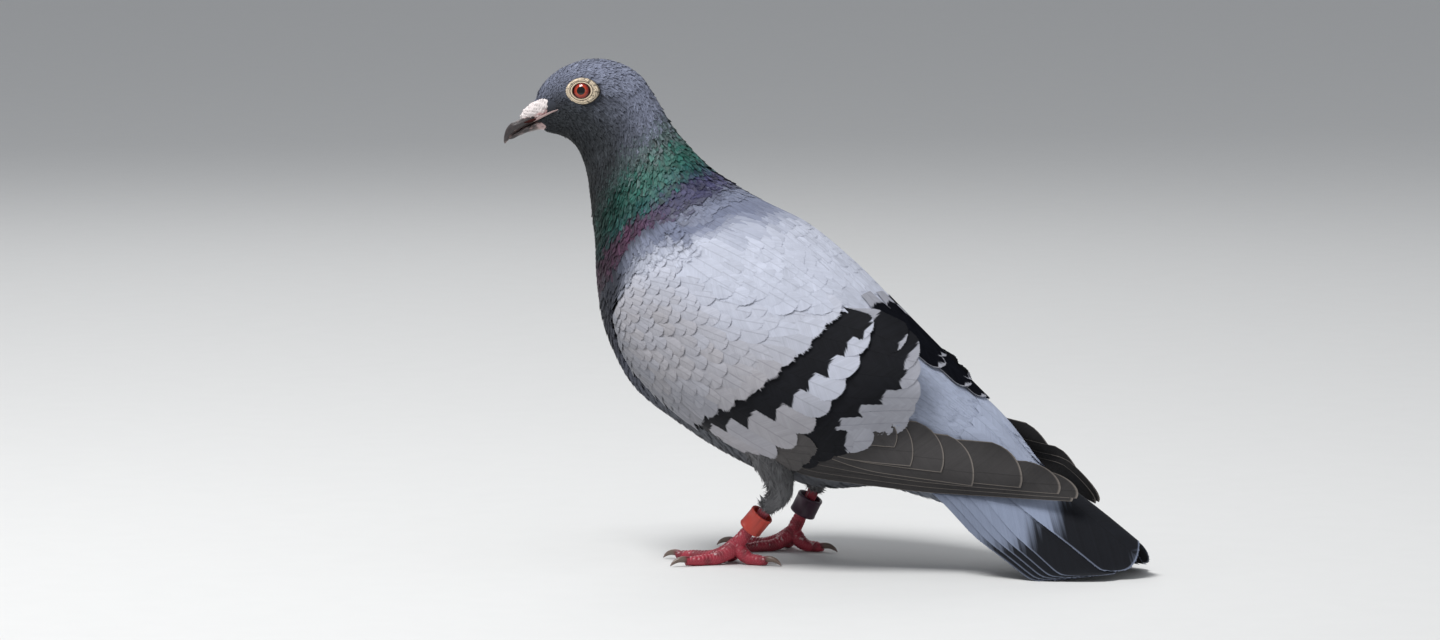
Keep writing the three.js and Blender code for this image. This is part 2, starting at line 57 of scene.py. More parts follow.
# Sections of the body from face to tail root: top line along, up; underline along, up; half width.
BODY = np.array(
    [
        (-88.6, 167.6, -86.6, 157.6, 3.8),
        (-85.0, 174.0, -83.0, 155.9, 6.0),
        (-79.0, 179.2, -78.6, 154.9, 9.5),
        (-72.0, 182.3, -74.4, 152.6, 11.8),
        (-65.0, 183.3, -71.4, 148.8, 12.5),
        (-57.0, 181.9, -69.6, 144.0, 12.7),
        (-49.0, 177.2, -68.2, 138.0, 13.2),
        (-43.2, 168.8, -67.4, 131.0, 14.6),
        (-37.5, 159.0, -66.4, 122.5, 17.5),
        (-30.5, 150.8, -65.0, 113.0, 21.5),
        (-21.5, 142.6, -63.4, 101.5, 26.5),
        (-9.0, 136.3, -60.6, 88.0, 32.0),
        (4.0, 130.6, -55.0, 74.0, 36.5),
        (16.3, 125.0, -45.5, 60.0, 39.0),
        (28.6, 116.5, -30.0, 49.4, 39.5),
        (41.0, 106.5, -12.0, 39.2, 38.5),
        (54.0, 94.5, 6.5, 31.6, 35.5),
        (69.5, 80.5, 29.0, 27.0, 30.0),
        (85.5, 66.0, 51.0, 28.5, 23.5),
        (98.5, 54.5, 73.0, 24.0, 18.0),
        (110.0, 41.0, 92.0, 19.5, 14.0),
        (119.0, 32.0, 109.0, 17.5, 10.0),
    ]
)
COAT_DEPTH = 1.3  # the skin lies this far inside the solids
WING_DEPTH = 1.7  # and this much further under the folded wings

EYE_AT = (-69.9, 171.5)
EYE_OUT = 8.9

SIDES = (("left", 1.0), ("right", -1.0))
RIGHT_TUCK = 16.0  # the right wing's upper edge lies this much lower
RIGHT_TUCK_Y = (5, 70)  # between these, front to back, it gets to its full depth
RIGHT_TIP_DROP = 3.5
RIGHT_RISE = 5.5  # the right primaries stand a little more on edge
RIGHT_REACH = 1.2  # and their tips reach further back

# ---- Colours, as sRGB ----------------------------------------------------------------

PALETTE = {
    # crown, cheek and throat hold painted light and shade: the crown is paler with painted light from above
    # and reflected sky, cheek and throat darker with painted shade
    "crown": (125, 130, 149),
    "cheek": (57, 60, 64),
    "throat": (42, 45, 48),
    "neck_top": (84, 98, 99),
    "green": (36, 90, 80),
    "teal": (32, 78, 80),
    "violet": (52, 51, 82),
    "magenta": (92, 60, 84),
    "slate": (104, 108, 125),
    "mantle": (116, 122, 143),
    "scapular": (192, 196, 210),
    "covert": (163, 164, 173),
    "covert_warm": (167, 163, 165),
    "bar": (19, 20, 25),
    "rump": (164, 172, 192),
    # belly and thigh: their own grey, darkened with painted shade as undersides
    "belly": (92, 95, 101),
    "thigh": (118, 118, 120),
    "vent": (140, 146, 158),
    "primary": (64, 62, 62),
    "primary_rim": (124, 117, 111),
    "tail_base": (140, 150, 172),
    "tail_band": (19, 21, 27),
    "tail_tip": (132, 140, 158),
    "cere": (236, 226, 224),
    "cere_pink": (206, 156, 154),
    "bill": (58, 52, 52),
    "bill_pale": (150, 128, 124),
    "gape": (222, 190, 186),
    "lid": (226, 208, 182),
    "lid_dark": (62, 54, 52),
    "lid_grey": (186, 166, 140),
    "iris": (156, 38, 18),
    "iris_inner": (190, 70, 30),
    "iris_rim": (66, 18, 12),
    "pupil": (6, 5, 6),
    "foot": (164, 50, 66),
    "foot_dust": (202, 132, 134),
    "foot_dark": (112, 36, 46),
    "claw": (112, 96, 86),
    "ring_left": (186, 66, 54),
    "ring_right": (66, 42, 58),
}


def linear(srgb):
    c = np.asarray(srgb, float) / 255.0
    return np.where(c <= 0.04045, c / 12.92, ((c + 0.055) / 1.055) ** 2.4)


COLOURS = {name: linear(value) for name, value in PALETTE.items()}

# ---- Small maths ----------------------------------------------------------------------


def catmull(table, t):
    """Rows of a table blended smoothly at the fractional row numbers t."""
    t = np.clip(np.asarray(t, float), 0, len(table) - 1)
    k = np.clip(np.floor(t).astype(int), 0, len(table) - 2)
    f = (t - k)[..., None]
    p1, p2 = table[k], table[k + 1]
    p0 = np.where((k > 0)[..., None], table[np.maximum(k - 1, 0)], 2 * p1 - p2)
    last = np.minimum(k + 2, len(table) - 1)
    p3 = np.where((k + 2 < len(table))[..., None], table[last], 2 * p2 - p1)
    cubic = -p0 + 3 * p1 - 3 * p2 + p3
    square = 2 * p0 - 5 * p1 + 4 * p2 - p3
    return 0.5 * (2 * p1 + (p2 - p0) * f + square * f**2 + cubic * f**3)


def smooth(x, low, high):
    t = np.clip((np.asarray(x, float) - low) / (high - low), 0, 1)
    return t * t * (3 - 2 * t)


def turns(count):
    """That many angles evenly round a full turn."""
    return np.linspace(0, 2 * np.pi, count, endpoint=False)


def height_on(line, y, **ends):
    """How high a line given as along and up lies at y."""
    return np.interp(y, line[:, 0], line[:, 1], **ends)


def unit(v):
    return v / np.maximum(np.linalg.norm(v, axis=-1, keepdims=True), 1e-9)


def blend(a, b, t):
    return a + (b - a) * np.asarray(t)[..., None]


def yawed(points, share):
    """Turns points with the head; share is 1 on the head and 0 from the shoulders on."""
    angle = math.radians(HEAD_YAW) * share
    x, y = points[..., 0], points[..., 1] - NECK_PIVOT_Y
    turned_x = x * np.cos(angle) - y * np.sin(angle)
    turned_y = x * np.sin(angle) + y * np.cos(angle) + NECK_PIVOT_Y
    return np.stack([turned_x, turned_y, points[..., 2]], -1)


def on_head(out, along, up):
    """Points of the head from their three coordinates before it turns."""
    out, along, up = np.broadcast_arrays(np.asarray(out, float), along, up)
    return yawed(np.stack([out, along, up], -1), 1.0)


def blurred(grid, cells, wraps=False):
    """A grid smoothed along both axes by a Gaussian of that many cells."""
    reach = int(3 * cells) + 1
    offsets = np.arange(-reach, reach + 1)
    weights = np.exp(-0.5 * (offsets / cells) ** 2)
    weights /= weights.sum()
    for axis in (0, 1):
        mode = "wrap" if wraps and axis == 1 else "edge"
        pad = [(0, 0), (0, 0)]
        pad[axis] = (reach, reach)
        padded = np.pad(grid, pad, mode=mode)
        size = grid.shape[axis]
        shifted = [padded.take(np.arange(i, i + size), axis) for i in range(2 * reach + 1)]
        grid = sum(w * part for w, part in zip(weights, shifted))
    return grid


def midline(row):
    """The middle between a section's two lines, and the way from there to its first line."""
    return (row[..., 0:2] + row[..., 2:4]) / 2, (row[..., 0:2] - row[..., 2:4]) / 2


# ---- Surfaces that feathers grow on ------------------------------------------------------


SHORT_OF_END = 1.001  # keeps a fractional index before the last cell


class Chart:
    """A surface as a grid of points over two coordinates; the second may close on itself."""

    reversed = False

    def __init__(self, points, first, second, wraps=False):
        self.points = points
        self.first = first
        self.second = second
        self.wraps = wraps
        du = self.slope(0)
        dv = self.slope(1)
        self.scale = np.stack([np.linalg.norm(du, axis=-1), np.linalg.norm(dv, axis=-1)], -1)
        self.normals = unit(np.cross(du, dv))

    def slope(self, axis):
        steps = (self.first, self.second)[axis]
        step = (steps[1] - steps[0]) / (self.points.shape[axis] - (0 if self.wraps and axis else 1))
        if self.wraps and axis == 1:
            ahead = np.roll(self.points, -1, 1)
            behind = np.roll(self.points, 1, 1)
            return (ahead - behind) / (2 * step)
        return np.gradient(self.points, step, axis=axis)

    def sample(self, grid, u, v):
        rows, columns = grid.shape[:2]
        i = (u - self.first[0]) / (self.first[1] - self.first[0]) * (rows - 1)
        i = np.clip(i, 0, rows - SHORT_OF_END)
        share = (v - self.second[0]) / (self.second[1] - self.second[0])
        if self.wraps:
            j = share * columns
        else:
            j = np.clip(share * (columns - 1), 0, columns - SHORT_OF_END)
        i0, j0 = np.floor(i).astype(int), np.floor(j).astype(int)
        fi, fj = (i - i0)[..., None], (j - j0)[..., None]
        j1 = (j0 + 1) % columns if self.wraps else j0 + 1
        j0 = j0 % columns
        near = grid[i0, j0] * (1 - fj) + grid[i0, j1] * fj
        far = grid[i0 + 1, j0] * (1 - fj) + grid[i0 + 1, j1] * fj
        return near * (1 - fi) + far * fi

    def place(self, u, v, height):
        return self.sample(self.points, u, v) + self.sample(self.normals, u, v) * height[..., None]

    def scale_at(self, u, v):
        """Millimetres for one step of each coordinate."""
        return np.maximum(self.sample(self.scale, u, v), 1e-3)


def body_points(s, theta, turned=True):
    """The body's surface at section s, theta from the top line towards the right side."""
    s, theta = np.broadcast_arrays(np.asarray(s, float), theta)
    row = catmull(BODY, s)
    rise = np.cos(theta)
    across = np.sign(np.sin(theta)) * np.abs(np.sin(theta)) ** 0.92
    middle, reach = midline(row)
    x = -row[..., 4] * across * (1 - 0.07 * rise)
    yz = middle + reach * rise[..., None]
    points = np.concatenate([x[..., None], yz], -1)
    return yawed(points, 1 - smooth(s, *YAW_ENDS)) if turned else points


def tree_of(*names):
    """The CAD nodes as one search tree, in millimetres in the bird's frame."""
    corners, faces = [], []
    for name in names:
        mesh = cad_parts[name].data
        start = len(corners)
        for vertex in mesh.vertices:
            corners.append(Vector(vertex.co) / MM + Vector((0, CENTRE_Y, 0)))
        faces += [[start + i for i in face.vertices] for face in mesh.polygons]
    return BVHTree.FromPolygons(corners, faces)


BODY_ROWS, BODY_COLUMNS = 330, 240
BODY_SPAN = (0.0, 20.6)


def body_chart():
    s = np.linspace(*BODY_SPAN, BODY_ROWS)[:, None]
    theta = turns(BODY_COLUMNS)[None, :]
    return Chart(body_points(s, theta), BODY_SPAN, (0, 2 * np.pi), wraps=True)


HULL_WINGS = (9, 18)  # sections between which the wings may lie
HULL_WINGS_END_Y = 64  # behind this the wing tips are left out
HULL_RAY = (90, 88)  # where a ray towards the middle starts, and how far it goes


def hull_chart(body):
    """The body with the shields of the folded wings, as one smooth surface."""
    tree = tree_of("wing_left", "wing_right")
    s = np.linspace(*BODY_SPAN, BODY_ROWS)
    row = catmull(BODY, s)
    middle = np.zeros((BODY_ROWS, 3))
    middle[:, 1:] = midline(row)[0]
    middle = yawed(middle, 1 - smooth(s, *YAW_ENDS))
    outward = body.points - middle[:, None]
    radius = np.linalg.norm(outward, axis=-1)
    outward /= radius[..., None]
    grown = radius.copy()
    for i in range(BODY_ROWS):
        if not HULL_WINGS[0] < s[i] < HULL_WINGS[1]:
            continue
        for j in range(BODY_COLUMNS):
            start = middle[i] + outward[i, j] * HULL_RAY[0]
            hit = tree.ray_cast(Vector(start), Vector(-outward[i, j]), HULL_RAY[1])[3]
            if hit is None:
                continue
            found = HULL_RAY[0] - hit
            if (middle[i] + outward[i, j] * found)[1] < HULL_WINGS_END_Y:
                grown[i, j] = max(radius[i, j], found)
    grown = np.maximum(blurred(grown, 3.5, wraps=True), radius)
    points = middle[:, None] + outward * grown[..., None]
    return Chart(points, BODY_SPAN, (0, 2 * np.pi), wraps=True)


WING_Y = (-62.0, 148.0)
WING_Z = (14.0, 134.0)
WING_CELL = 1.5
WING_FREE_Y = 20.0  # behind this the wing's edges stand free of the body
WING_RAY_X = 90  # rays at the wing start this far out


def wing_chart():
    """The outer side of the folded left wing, and of the body ahead of it, over along and up."""
    wing, ahead = tree_of("wing_left"), tree_of("wing_left", "trunk", "neck")
    ys = np.arange(WING_Y[0], WING_Y[1] + 1e-6, WING_CELL)
    zs = np.arange(WING_Z[0], WING_Z[1] + 1e-6, WING_CELL)
    out = np.full((len(ys), len(zs)), np.nan)
    for i, y in enumerate(ys):
        tree = ahead if y < WING_FREE_Y else wing
        for j, z in enumerate(zs):
            hit = tree.ray_cast(Vector((WING_RAY_X, y, z)), Vector((-1, 0, 0)))[0]
            if hit is not None:
                out[i, j] = hit.x
    out = blurred(filled(out), 2.0)
    points = np.stack(np.broadcast_arrays(out, ys[:, None], zs[None, :]), -1)
    return Chart(points, (ys[0], ys[-1]), (zs[0], zs[-1]))


FILL_SPREADS = (1, 2, 4, 8, 16, 32)  # cells, from the nearest neighbours outwards
FILL_ROUNDS = 300


def filled(grid):
    """Empty cells filled smoothly from the cells around them."""
    empty = np.isnan(grid)
    values = np.where(empty, 0.0, grid)
    weight = np.where(empty, 0.0, 1.0)
    guess, cover = values.copy(), weight.copy()
    for cells in FILL_SPREADS:
        spread = blurred(values * weight, cells)
        total = blurred(weight, cells)
        use = empty & (cover < 0.5) & (total > 0.02)
        guess[use] = spread[use] / total[use]
        cover[use] = 1
    guess[empty & (cover < 0.5)] = values[~empty].mean()
    for _ in range(FILL_ROUNDS):
        padded = np.pad(guess, 1, mode="edge")
        mean = (padded[2:, 1:-1] + padded[:-2, 1:-1] + padded[1:-1, 2:] + padded[1:-1, :-2]) / 4
        guess[empty] = mean[empty]
    return guess


# ---- Feathers --------------------------------------------------------------------------


def linked(name, data):
    """A new object in the scene."""
    thing = bpy.data.objects.new(name, data)
    bpy.context.scene.collection.objects.link(thing)
    return thing


def piece_of(name, mesh, material):
    """A smooth mesh as a piece that rides on the part's root."""
    mesh.materials.append(material)
    mesh.shade_smooth()
    piece = linked(name, mesh)
    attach(piece, "root")
    return piece


LAYERS = ("vane", "outline", "seat", "tint", "marks")


class Plumage:
    """Collects feathers of one region and makes them one mesh."""

    def __init__(self, name):
        self.name = name
        self.count = 0
        self.parts = {key: [] for key in ("points", "quads", "tris", *LAYERS)}

    def add(self, points, quads, tris, **layers):
        self.parts["points"].append(points)
        self.parts["quads"].append(quads + self.count)
        self.parts["tris"].append(tris + self.count)
        for key, value in layers.items():
            self.parts[key].append(value)
        self.count += len(points)

    def build(self, material, slot):
        joined = {key: np.concatenate(value) for key, value in self.parts.items()}
        mesh = mesh_of(self.name, joined["points"], joined["quads"], joined["tris"])
        add_uv(mesh, "OFBake", spread_out(joined["seat"]))
        add_uv(mesh, "Vane", joined["vane"])
        add_uv(mesh, "Outline", joined["outline"])
        add_colour(mesh, "Tint", joined["tint"])
        add_colour(mesh, "Marks", joined["marks"])
        piece_of(self.name, mesh, material)


def mesh_of(name, points, quads, tris):
    """A mesh from corners in millimetres in the bird's frame."""
    mesh = bpy.data.meshes.new(name)
    mesh.vertices.add(len(points))
    placed = (points - (0, CENTRE_Y, 0)) * MM
    mesh.vertices.foreach_set("co", placed.astype(np.float32).ravel())
    loops = np.concatenate([quads.ravel(), tris.ravel()]).astype(np.int32)
    starts = np.concatenate([np.arange(len(quads)) * 4, len(quads) * 4 + np.arange(len(tris)) * 3])
    mesh.loops.add(len(loops))
    mesh.loops.foreach_set("vertex_index", loops)
    mesh.polygons.add(len(starts))
    mesh.polygons.foreach_set("loop_start", starts.astype(np.int32))
    mesh.update(calc_edges=True)
    return mesh


def corner_vertices(mesh):
    corners = np.empty(len(mesh.loops), np.int32)
    mesh.loops.foreach_get("vertex_index", corners)
    return corners


def add_uv(mesh, name, uv):
    layer = mesh.uv_layers.new(name=name)
    layer.data.foreach_set("uv", uv[corner_vertices(mesh)].astype(np.float32).ravel())


def add_colour(mesh, name, colour):
    layer = mesh.color_attributes.new(name=name, type="FLOAT_COLOR", domain="POINT")
    full = np.ones((len(colour), 4), np.float32)
    full[:, : colour.shape[1]] = colour
    layer.data.foreach_set("color", full.ravel())


def spread_out(seat):
    """Seats are chart places plus a patch offset; fits the places into the unit square."""
    place, offset = seat[:, :2], seat[:, 2:]
    low, high = place.min(0), place.max(0)
    return UV_MARGIN + UV_SPAN * (place - low) / np.maximum(high - low, 1e-6) + offset


UV_MARGIN = 0.01
UV_SPAN = 0.97
PATCH = 0.003  # side of one feather's patch in the bake map


def vane_shape(rows, columns, tip, roundness, root_width, skew):
    """A feather on a unit length and half width: shares along and across, and place u, v. Skew is
    how far off the middle its end reaches furthest."""
    v = np.linspace(0, 1, rows) ** 0.9
    u = np.linspace(-1, 1, columns)
    v, u = np.meshgrid(v, u, indexing="ij")
    off = np.abs(u - skew) / (1 + abs(skew)) * 0.985
    arc = 1 - np.maximum(1 - off**roundness, 0) ** (1 / roundness)
    along = v[None] * (1 - tip[:, None, None] * arc[None])
    width = root_width + (1 - root_width) * smooth(v, 0, 0.55)
    return along, u * width, u, v


def grid_faces(count, rows, columns):
    """Quads of that many separate grids."""
    i, j = np.meshgrid(np.arange(rows - 1), np.arange(columns - 1), indexing="ij")
    a = (i * columns + j).ravel()
    one = np.stack([a, a + columns, a + columns + 1, a + 1], 1)
    return (one[None] + (np.arange(count) * rows * columns)[:, None, None]).reshape(-1, 4)


def rim_path(rows, columns, first_row):
    """Vertex numbers of a feather's rim from one side round the tip to the other side."""
    left = [r * columns for r in range(first_row, rows)]
    end = [(rows - 1) * columns + c for c in range(1, columns)]
    right = [r * columns + columns - 1 for r in range(rows - 2, first_row - 1, -1)]
    return np.array(left + end + right)


def per_feather(values, count):
    """One value for each feather, shaped to go with their grids of corners."""
    return np.broadcast_to(np.asarray(values, float), (count,))[:, None, None]


def laid_on(chart, u, v, heading, ahead, aside, height):
    """Corners that many millimetres ahead and aside of roots at chart places u, v."""
    count = len(u)
    cosine, sine = np.cos(heading), np.sin(heading)
    scale = chart.scale_at(np.asarray(u, float), np.asarray(v, float))
    step_u = (ahead * cosine - aside * sine) / scale[:, 0][:, None, None]
    step_v = (ahead * sine + aside * cosine) / scale[:, 1][:, None, None]
    return chart.place(per_feather(u, count) + step_u, per_feather(v, count) + step_v, height)


def feather_layers(shape, outline, tint, root_shade, marks, ident, place):
    """What the corners of feathers carry besides their vane places; place is each root's."""
    pu, pv = outline
    shade = root_shade + (1 - root_shade) * smooth(pv, 0.25, 0.8)
    marked = np.broadcast_to(marks[:, None, None], shape + (4,)).copy()
    marked[..., 3] = ident
    patch = np.broadcast_to(np.stack([(pu + 1) / 2, pv], -1)[None] * PATCH, shape + (2,))
    return {
        "outline": np.broadcast_to(np.stack([pu, pv], -1)[None], shape + (2,)),
        "seat": np.concatenate([np.broadcast_to(place[:, None, None], shape + (2,)), patch], -1),
        "tint": np.asarray(tint, float).reshape(-1, 1, 1, 3) * shade[..., None],
        "marks": marked,
    }


def grow(
    plumage, chart, u, v, heading, length, width, tint, *, rng, rows, columns, tip, roundness,
    lift, slope, camber, teeth, root_shade, root_width=0.5, skew=0.0, roll=0.0, bend=0.0,
    shaft=0.0, curl=0.0, tooth=0.5, fray=0.5, marks=None, seat=None,
):
    """Feathers with their roots at chart places u, v. Lengths are in millimetres and heading is
    in radians from the first coordinate towards the second. Values may be one for each feather."""
    count = len(u)

    def each(values):
        return per_feather(values, count)

    tips = np.broadcast_to(tip, (count,))
    along, across, pu, pv = vane_shape(rows, columns, tips, roundness, root_width, skew)
    half = each(width) / 2
    ahead, out = np.broadcast_arrays(along * each(length), across[None] * half)
    aside = out + each(bend) * ahead**2 / each(length)
    height = each(lift) + each(slope) * ahead + each(roll) * out - each(camber) * across[None] ** 2 * half
    height = height + each(curl) * pv[None] ** 3
    points = laid_on(chart, u, v, each(heading), ahead, aside, height)

    ident = rng.uniform(0, 1, (count, 1, 1))
    marks = np.zeros((count, 4)) if marks is None else marks
    place = np.stack([u, v], -1).astype(float) if seat is None else seat
    layers = feather_layers(points.shape[:3], (pu, pv), tint, each(root_shade), marks, ident, place)
    layers["vane"] = np.stack([out - each(shaft) * half, ahead], -1)

    flat = {key: np.ascontiguousarray(layers[key]).reshape(-1, layers[key].shape[-1]) for key in LAYERS}
    quads = grid_faces(count, rows, columns)
    if chart.reversed:
        quads = quads[:, ::-1]
    plumage.add(points.reshape(-1, 3), quads, np.zeros((0, 3), int), **flat)
    if teeth:
        comb(plumage, points, layers, rows, columns, teeth, tooth, fray, rng)


COMB_SPREAD = math.radians(42)  # how far the barbs' free ends turn away from the shaft
COMB_LAP = 0.15  # how far each tooth's root laps the next, as a share of half its width


def comb(plumage, points, layers, rows, columns, teeth, tooth, fray, rng):
    """The free ends of the barbs, as thin points along each feather's rim."""
    count = len(points)
    size = rows * columns
    path = rim_path(rows, columns, max(1, rows // 3))
    last = len(path) - SHORT_OF_END
    spots = np.linspace(0, last, teeth + 1)
    start, end = spots[:-1], spots[1:]
    half = (end - start) * 0.5

    def at(values, spot):
        index = np.clip(np.floor(spot).astype(int), 0, len(path) - 2)
        share = (spot - index)[:, None]
        flat = values.reshape(count, size, -1)
        return flat[:, path[index]] * (1 - share) + flat[:, path[index + 1]] * share

    base_a = at(points, start)
    base_b = at(points, np.minimum(end + half * COMB_LAP, last))
    middle = (base_a + base_b) / 2
    mid_spot = (start + end) / 2
    side = at(layers["outline"], mid_spot)[..., 0:1]
    lie = unit(points[:, rows - 1, columns // 2] - points[:, rows - 2, columns // 2])[:, None]
    cross = unit(points[:, rows // 2, columns - 1] - points[:, rows // 2, 0])[:, None]
    angle = side * COMB_SPREAD
    way = lie * np.cos(angle) + cross * np.sin(angle)
    reach = per_feather(tooth, count) * (1 + fray * rng.uniform(-1, 1, (count, teeth, 1)))
    apex = middle + way * reach
    trio = np.stack([base_a, base_b, apex], 2)

    def thrice(values):
        corners = (start, np.minimum(end, last), mid_spot)
        return np.stack([at(values, spot) for spot in corners], 2)

    corner = {key: thrice(np.ascontiguousarray(value)) for key, value in layers.items()}
    corner["vane"][:, :, 2, 0:1] += np.sin(angle) * reach
    corner["vane"][:, :, 2, 1:2] += np.cos(angle) * reach
    corner = {key: value.reshape(-1, value.shape[-1]) for key, value in corner.items()}
    tris = np.arange(count * teeth * 3).reshape(-1, 3)
    plumage.add(trio.reshape(-1, 3), np.zeros((0, 4), int), tris, **corner)


# ---- Materials ---------------------------------------------------------------------------


class Shader:
    """A material made of nodes around one Principled shader."""

    def __init__(self, name, **constants):
        self.material = bpy.data.materials.new(name)
        self.material.use_nodes = True
        self.nodes = self.material.node_tree.nodes
        self.links = self.material.node_tree.links
        self.surface = self.nodes["Principled BSDF"]
        for key, value in constants.items():
            self.surface.inputs[key.replace("_", " ")].default_value = value

    def put(self, socket, value):
        if isinstance(value, bpy.types.NodeSocket):
            self.links.new(value, socket)
        else:
            socket.default_value = value

    def node(self, kind, inputs=None, **settings):
        node = self.nodes.new("ShaderNode" + kind)
        for key, value in settings.items():
            setattr(node, key, value)
        for key, value in (inputs or {}).items():
            self.put(node.inputs[key], value)
        return node

    def math(self, operation, *values):
        node = self.node("Math", operation=operation)
        for socket, value in zip(node.inputs, values):
            self.put(socket, value)
        return node.outputs[0]

    def step(self, value, low, high):
        """0 below low, 1 above high, smooth between."""
        node = self.node("MapRange", interpolation_type="SMOOTHSTEP")
        for key, number in (("Value", value), ("From Min", low), ("From Max", high)):
            self.put(node.inputs[key], number)
        return node.outputs["Result"]

    def scaled(self, colour, factor):
        return self.node("VectorMath", {0: colour, "Scale": factor}, operation="SCALE").outputs[0]

    def swayed(self, value, noise, amount):
        """The value moved up and down by noise that lies round a half."""
        centred = self.math("SUBTRACT", noise, 0.5)
        return self.math("MULTIPLY_ADD", centred, amount, value)

    def mix(self, share, a, b):
        node = self.node("Mix", data_type="RGBA")
        self.put(node.inputs[0], share)
        self.put(node.inputs[6], a)
        self.put(node.inputs[7], b)
        return node.outputs[2]

    def combine(self, x, y, z):
        return self.node("CombineXYZ", {"X": x, "Y": y, "Z": z}).outputs[0]

    def noise(self, vector, scale, detail=2.0, roughness=0.5):
        inputs = {"Vector": vector, "Scale": scale, "Detail": detail, "Roughness": roughness}
        return self.node("TexNoise", inputs).outputs["Fac"]

    def uv(self, name):
        split = self.node("SeparateXYZ", {"Vector": self.node("UVMap", uv_map=name).outputs[0]})
        return split.outputs[0], split.outputs[1]

    def bump(self, height, strength, distance):
        inputs = {"Height": height, "Strength": strength, "Distance": distance}
        self.put(self.surface.inputs["Normal"], self.node("Bump", inputs).outputs[0])


def rgba(name):
    return (*[float(c) for c in COLOURS[name]], 1.0)


NO_BAR = 400.0  # the start of a bar that lies beyond the feather's end
BARB_LEAN = 0.95  # along the shaft for each millimetre a barb goes out
SHAFT_TONE = 0.86  # the shaft's line is this much of the vane's lightness


def barb_noise(shader, off, x, y, ident):
    """Fine and broad streaks along the barbs, and soft spots over the whole vane."""
    barb = shader.math("SUBTRACT", y, shader.math("MULTIPLY", off, BARB_LEAN))
    side = shader.math("MULTIPLY", shader.math("SIGN", x), 3.0)
    own = shader.math("MULTIPLY", ident, 91.0)
    place = shader.combine(barb, side, own)
    fine = shader.noise(place, 3.6, 2.0, 0.6)
    broad = shader.noise(place, 0.55, 1.0)
    return fine, broad, shader.noise(shader.combine(x, y, own), 0.3, 2.0)


def within_bar(shader, off, y, fine, broad, ends, soft, fray):
    """1 between the ends of a vane's bar, which follow the barbs unevenly."""
    frayed = shader.swayed(y, broad, fray)
    frayed = shader.swayed(frayed, fine, 2.0)
    frayed = shader.math("MULTIPLY_ADD", off, -0.3, frayed)
    past_start = shader.step(shader.math("SUBTRACT", frayed, ends[0]), -soft, soft)
    before_end = shader.step(shader.math("SUBTRACT", ends[1], frayed), -soft, soft)
    return shader.math("MULTIPLY", past_start, before_end)


def on_rim(shader):
    """1 on a narrow rim along the sides and the tip of a vane."""
    out_u, out_v = shader.uv("Outline")
    side = shader.step(shader.math("ABSOLUTE", out_u), 0.95, 0.99)
    return shader.math("MAXIMUM", side, shader.step(out_v, 0.989, 0.997))


def plumage_material(name, bar="bar", rim="primary_rim", streak=0.3, roughness=0.8, specular=0.16,
                     sheen=0.05, soft=0.35, fray=2.6):
    """Vanes of barbs. Marks hold where a bar starts and ends in millimetres from the root, how
    pale the rim is, and a number of each feather's own."""
    shader = Shader(name, Roughness=roughness, Specular_IOR_Level=specular, Sheen_Weight=sheen,
                    Sheen_Roughness=0.5)
    x, y = shader.uv("Vane")
    off = shader.math("ABSOLUTE", x)
    marks = shader.node("Attribute", attribute_name="Marks")
    split = shader.node("SeparateColor", {"Color": marks.outputs["Color"]})
    start, end, rim_share = split.outputs[0], split.outputs[1], split.outputs[2]
    fine, broad, mottled = barb_noise(shader, off, x, y, marks.outputs["Alpha"])

    light = shader.swayed(1.0, fine, streak)
    light = shader.swayed(light, broad, streak * 0.8)
    light = shader.swayed(light, mottled, streak * 0.5)
    colour = shader.scaled(shader.node("Attribute", attribute_name="Tint").outputs["Color"], light)

    inside = within_bar(shader, off, y, fine, broad, (start, end), soft, fray)
    edge = shader.math("MULTIPLY", on_rim(shader), rim_share)
    inside = shader.math("MULTIPLY", inside, shader.math("SUBTRACT", 1.0, edge))
    contrast = shader.math("MULTIPLY_ADD", shader.math("SUBTRACT", light, 1.0), 3.0, 1.0)
    colour = shader.mix(inside, colour, shader.scaled(rgba(bar)[:3], contrast))
    edge = shader.math("MULTIPLY", edge, shader.step(start, NO_BAR - 2.0, NO_BAR - 1.0))
    colour = shader.mix(edge, colour, rgba(rim))

    line = shader.step(off, 0.12, 0.3)
    shaft = shader.math("MULTIPLY_ADD", line, 1 - SHAFT_TONE, SHAFT_TONE)
    shader.put(shader.surface.inputs["Base Color"], shader.scaled(colour, shaft))
    shader.bump(shader.math("ADD", fine, shader.math("MULTIPLY", line, -0.6)), 0.35, 0.00025)
    return shader.material


# ---- Where feathers stand -------------------------------------------------------------------


def rows_over(chart, span, pitch, spread, rng, jitter=0.25):
    """Roots in staggered rows round the body: pitch between rows and spread along a row, both
    millimetres as functions of the section. Returns section and angle."""
    found_s, found_t = [], []
    s = span[0]
    odd = 0
    while s < span[1]:
        angles = turns(64)
        scale = chart.scale_at(np.full(64, s), angles)
        around = scale[:, 1].mean() * 2 * np.pi
        count = max(6, int(around / spread(s)))
        t = (np.arange(count) + 0.5 * odd) / count * 2 * np.pi
        step = pitch(s) / np.percentile(scale[:, 0], 75)
        found_s.append(s + jitter * step * rng.uniform(-1, 1, count))
        found_t.append(t + jitter * 2 * np.pi / count * rng.uniform(-1, 1, count))
        s += step
        odd = 1 - odd
    return np.concatenate(found_s), np.concatenate(found_t) % (2 * np.pi)


def from_top(theta):
    """Angle from the top line in degrees, 0 to 180, on either side."""
    return np.degrees(np.where(theta > np.pi, 2 * np.pi - theta, theta))


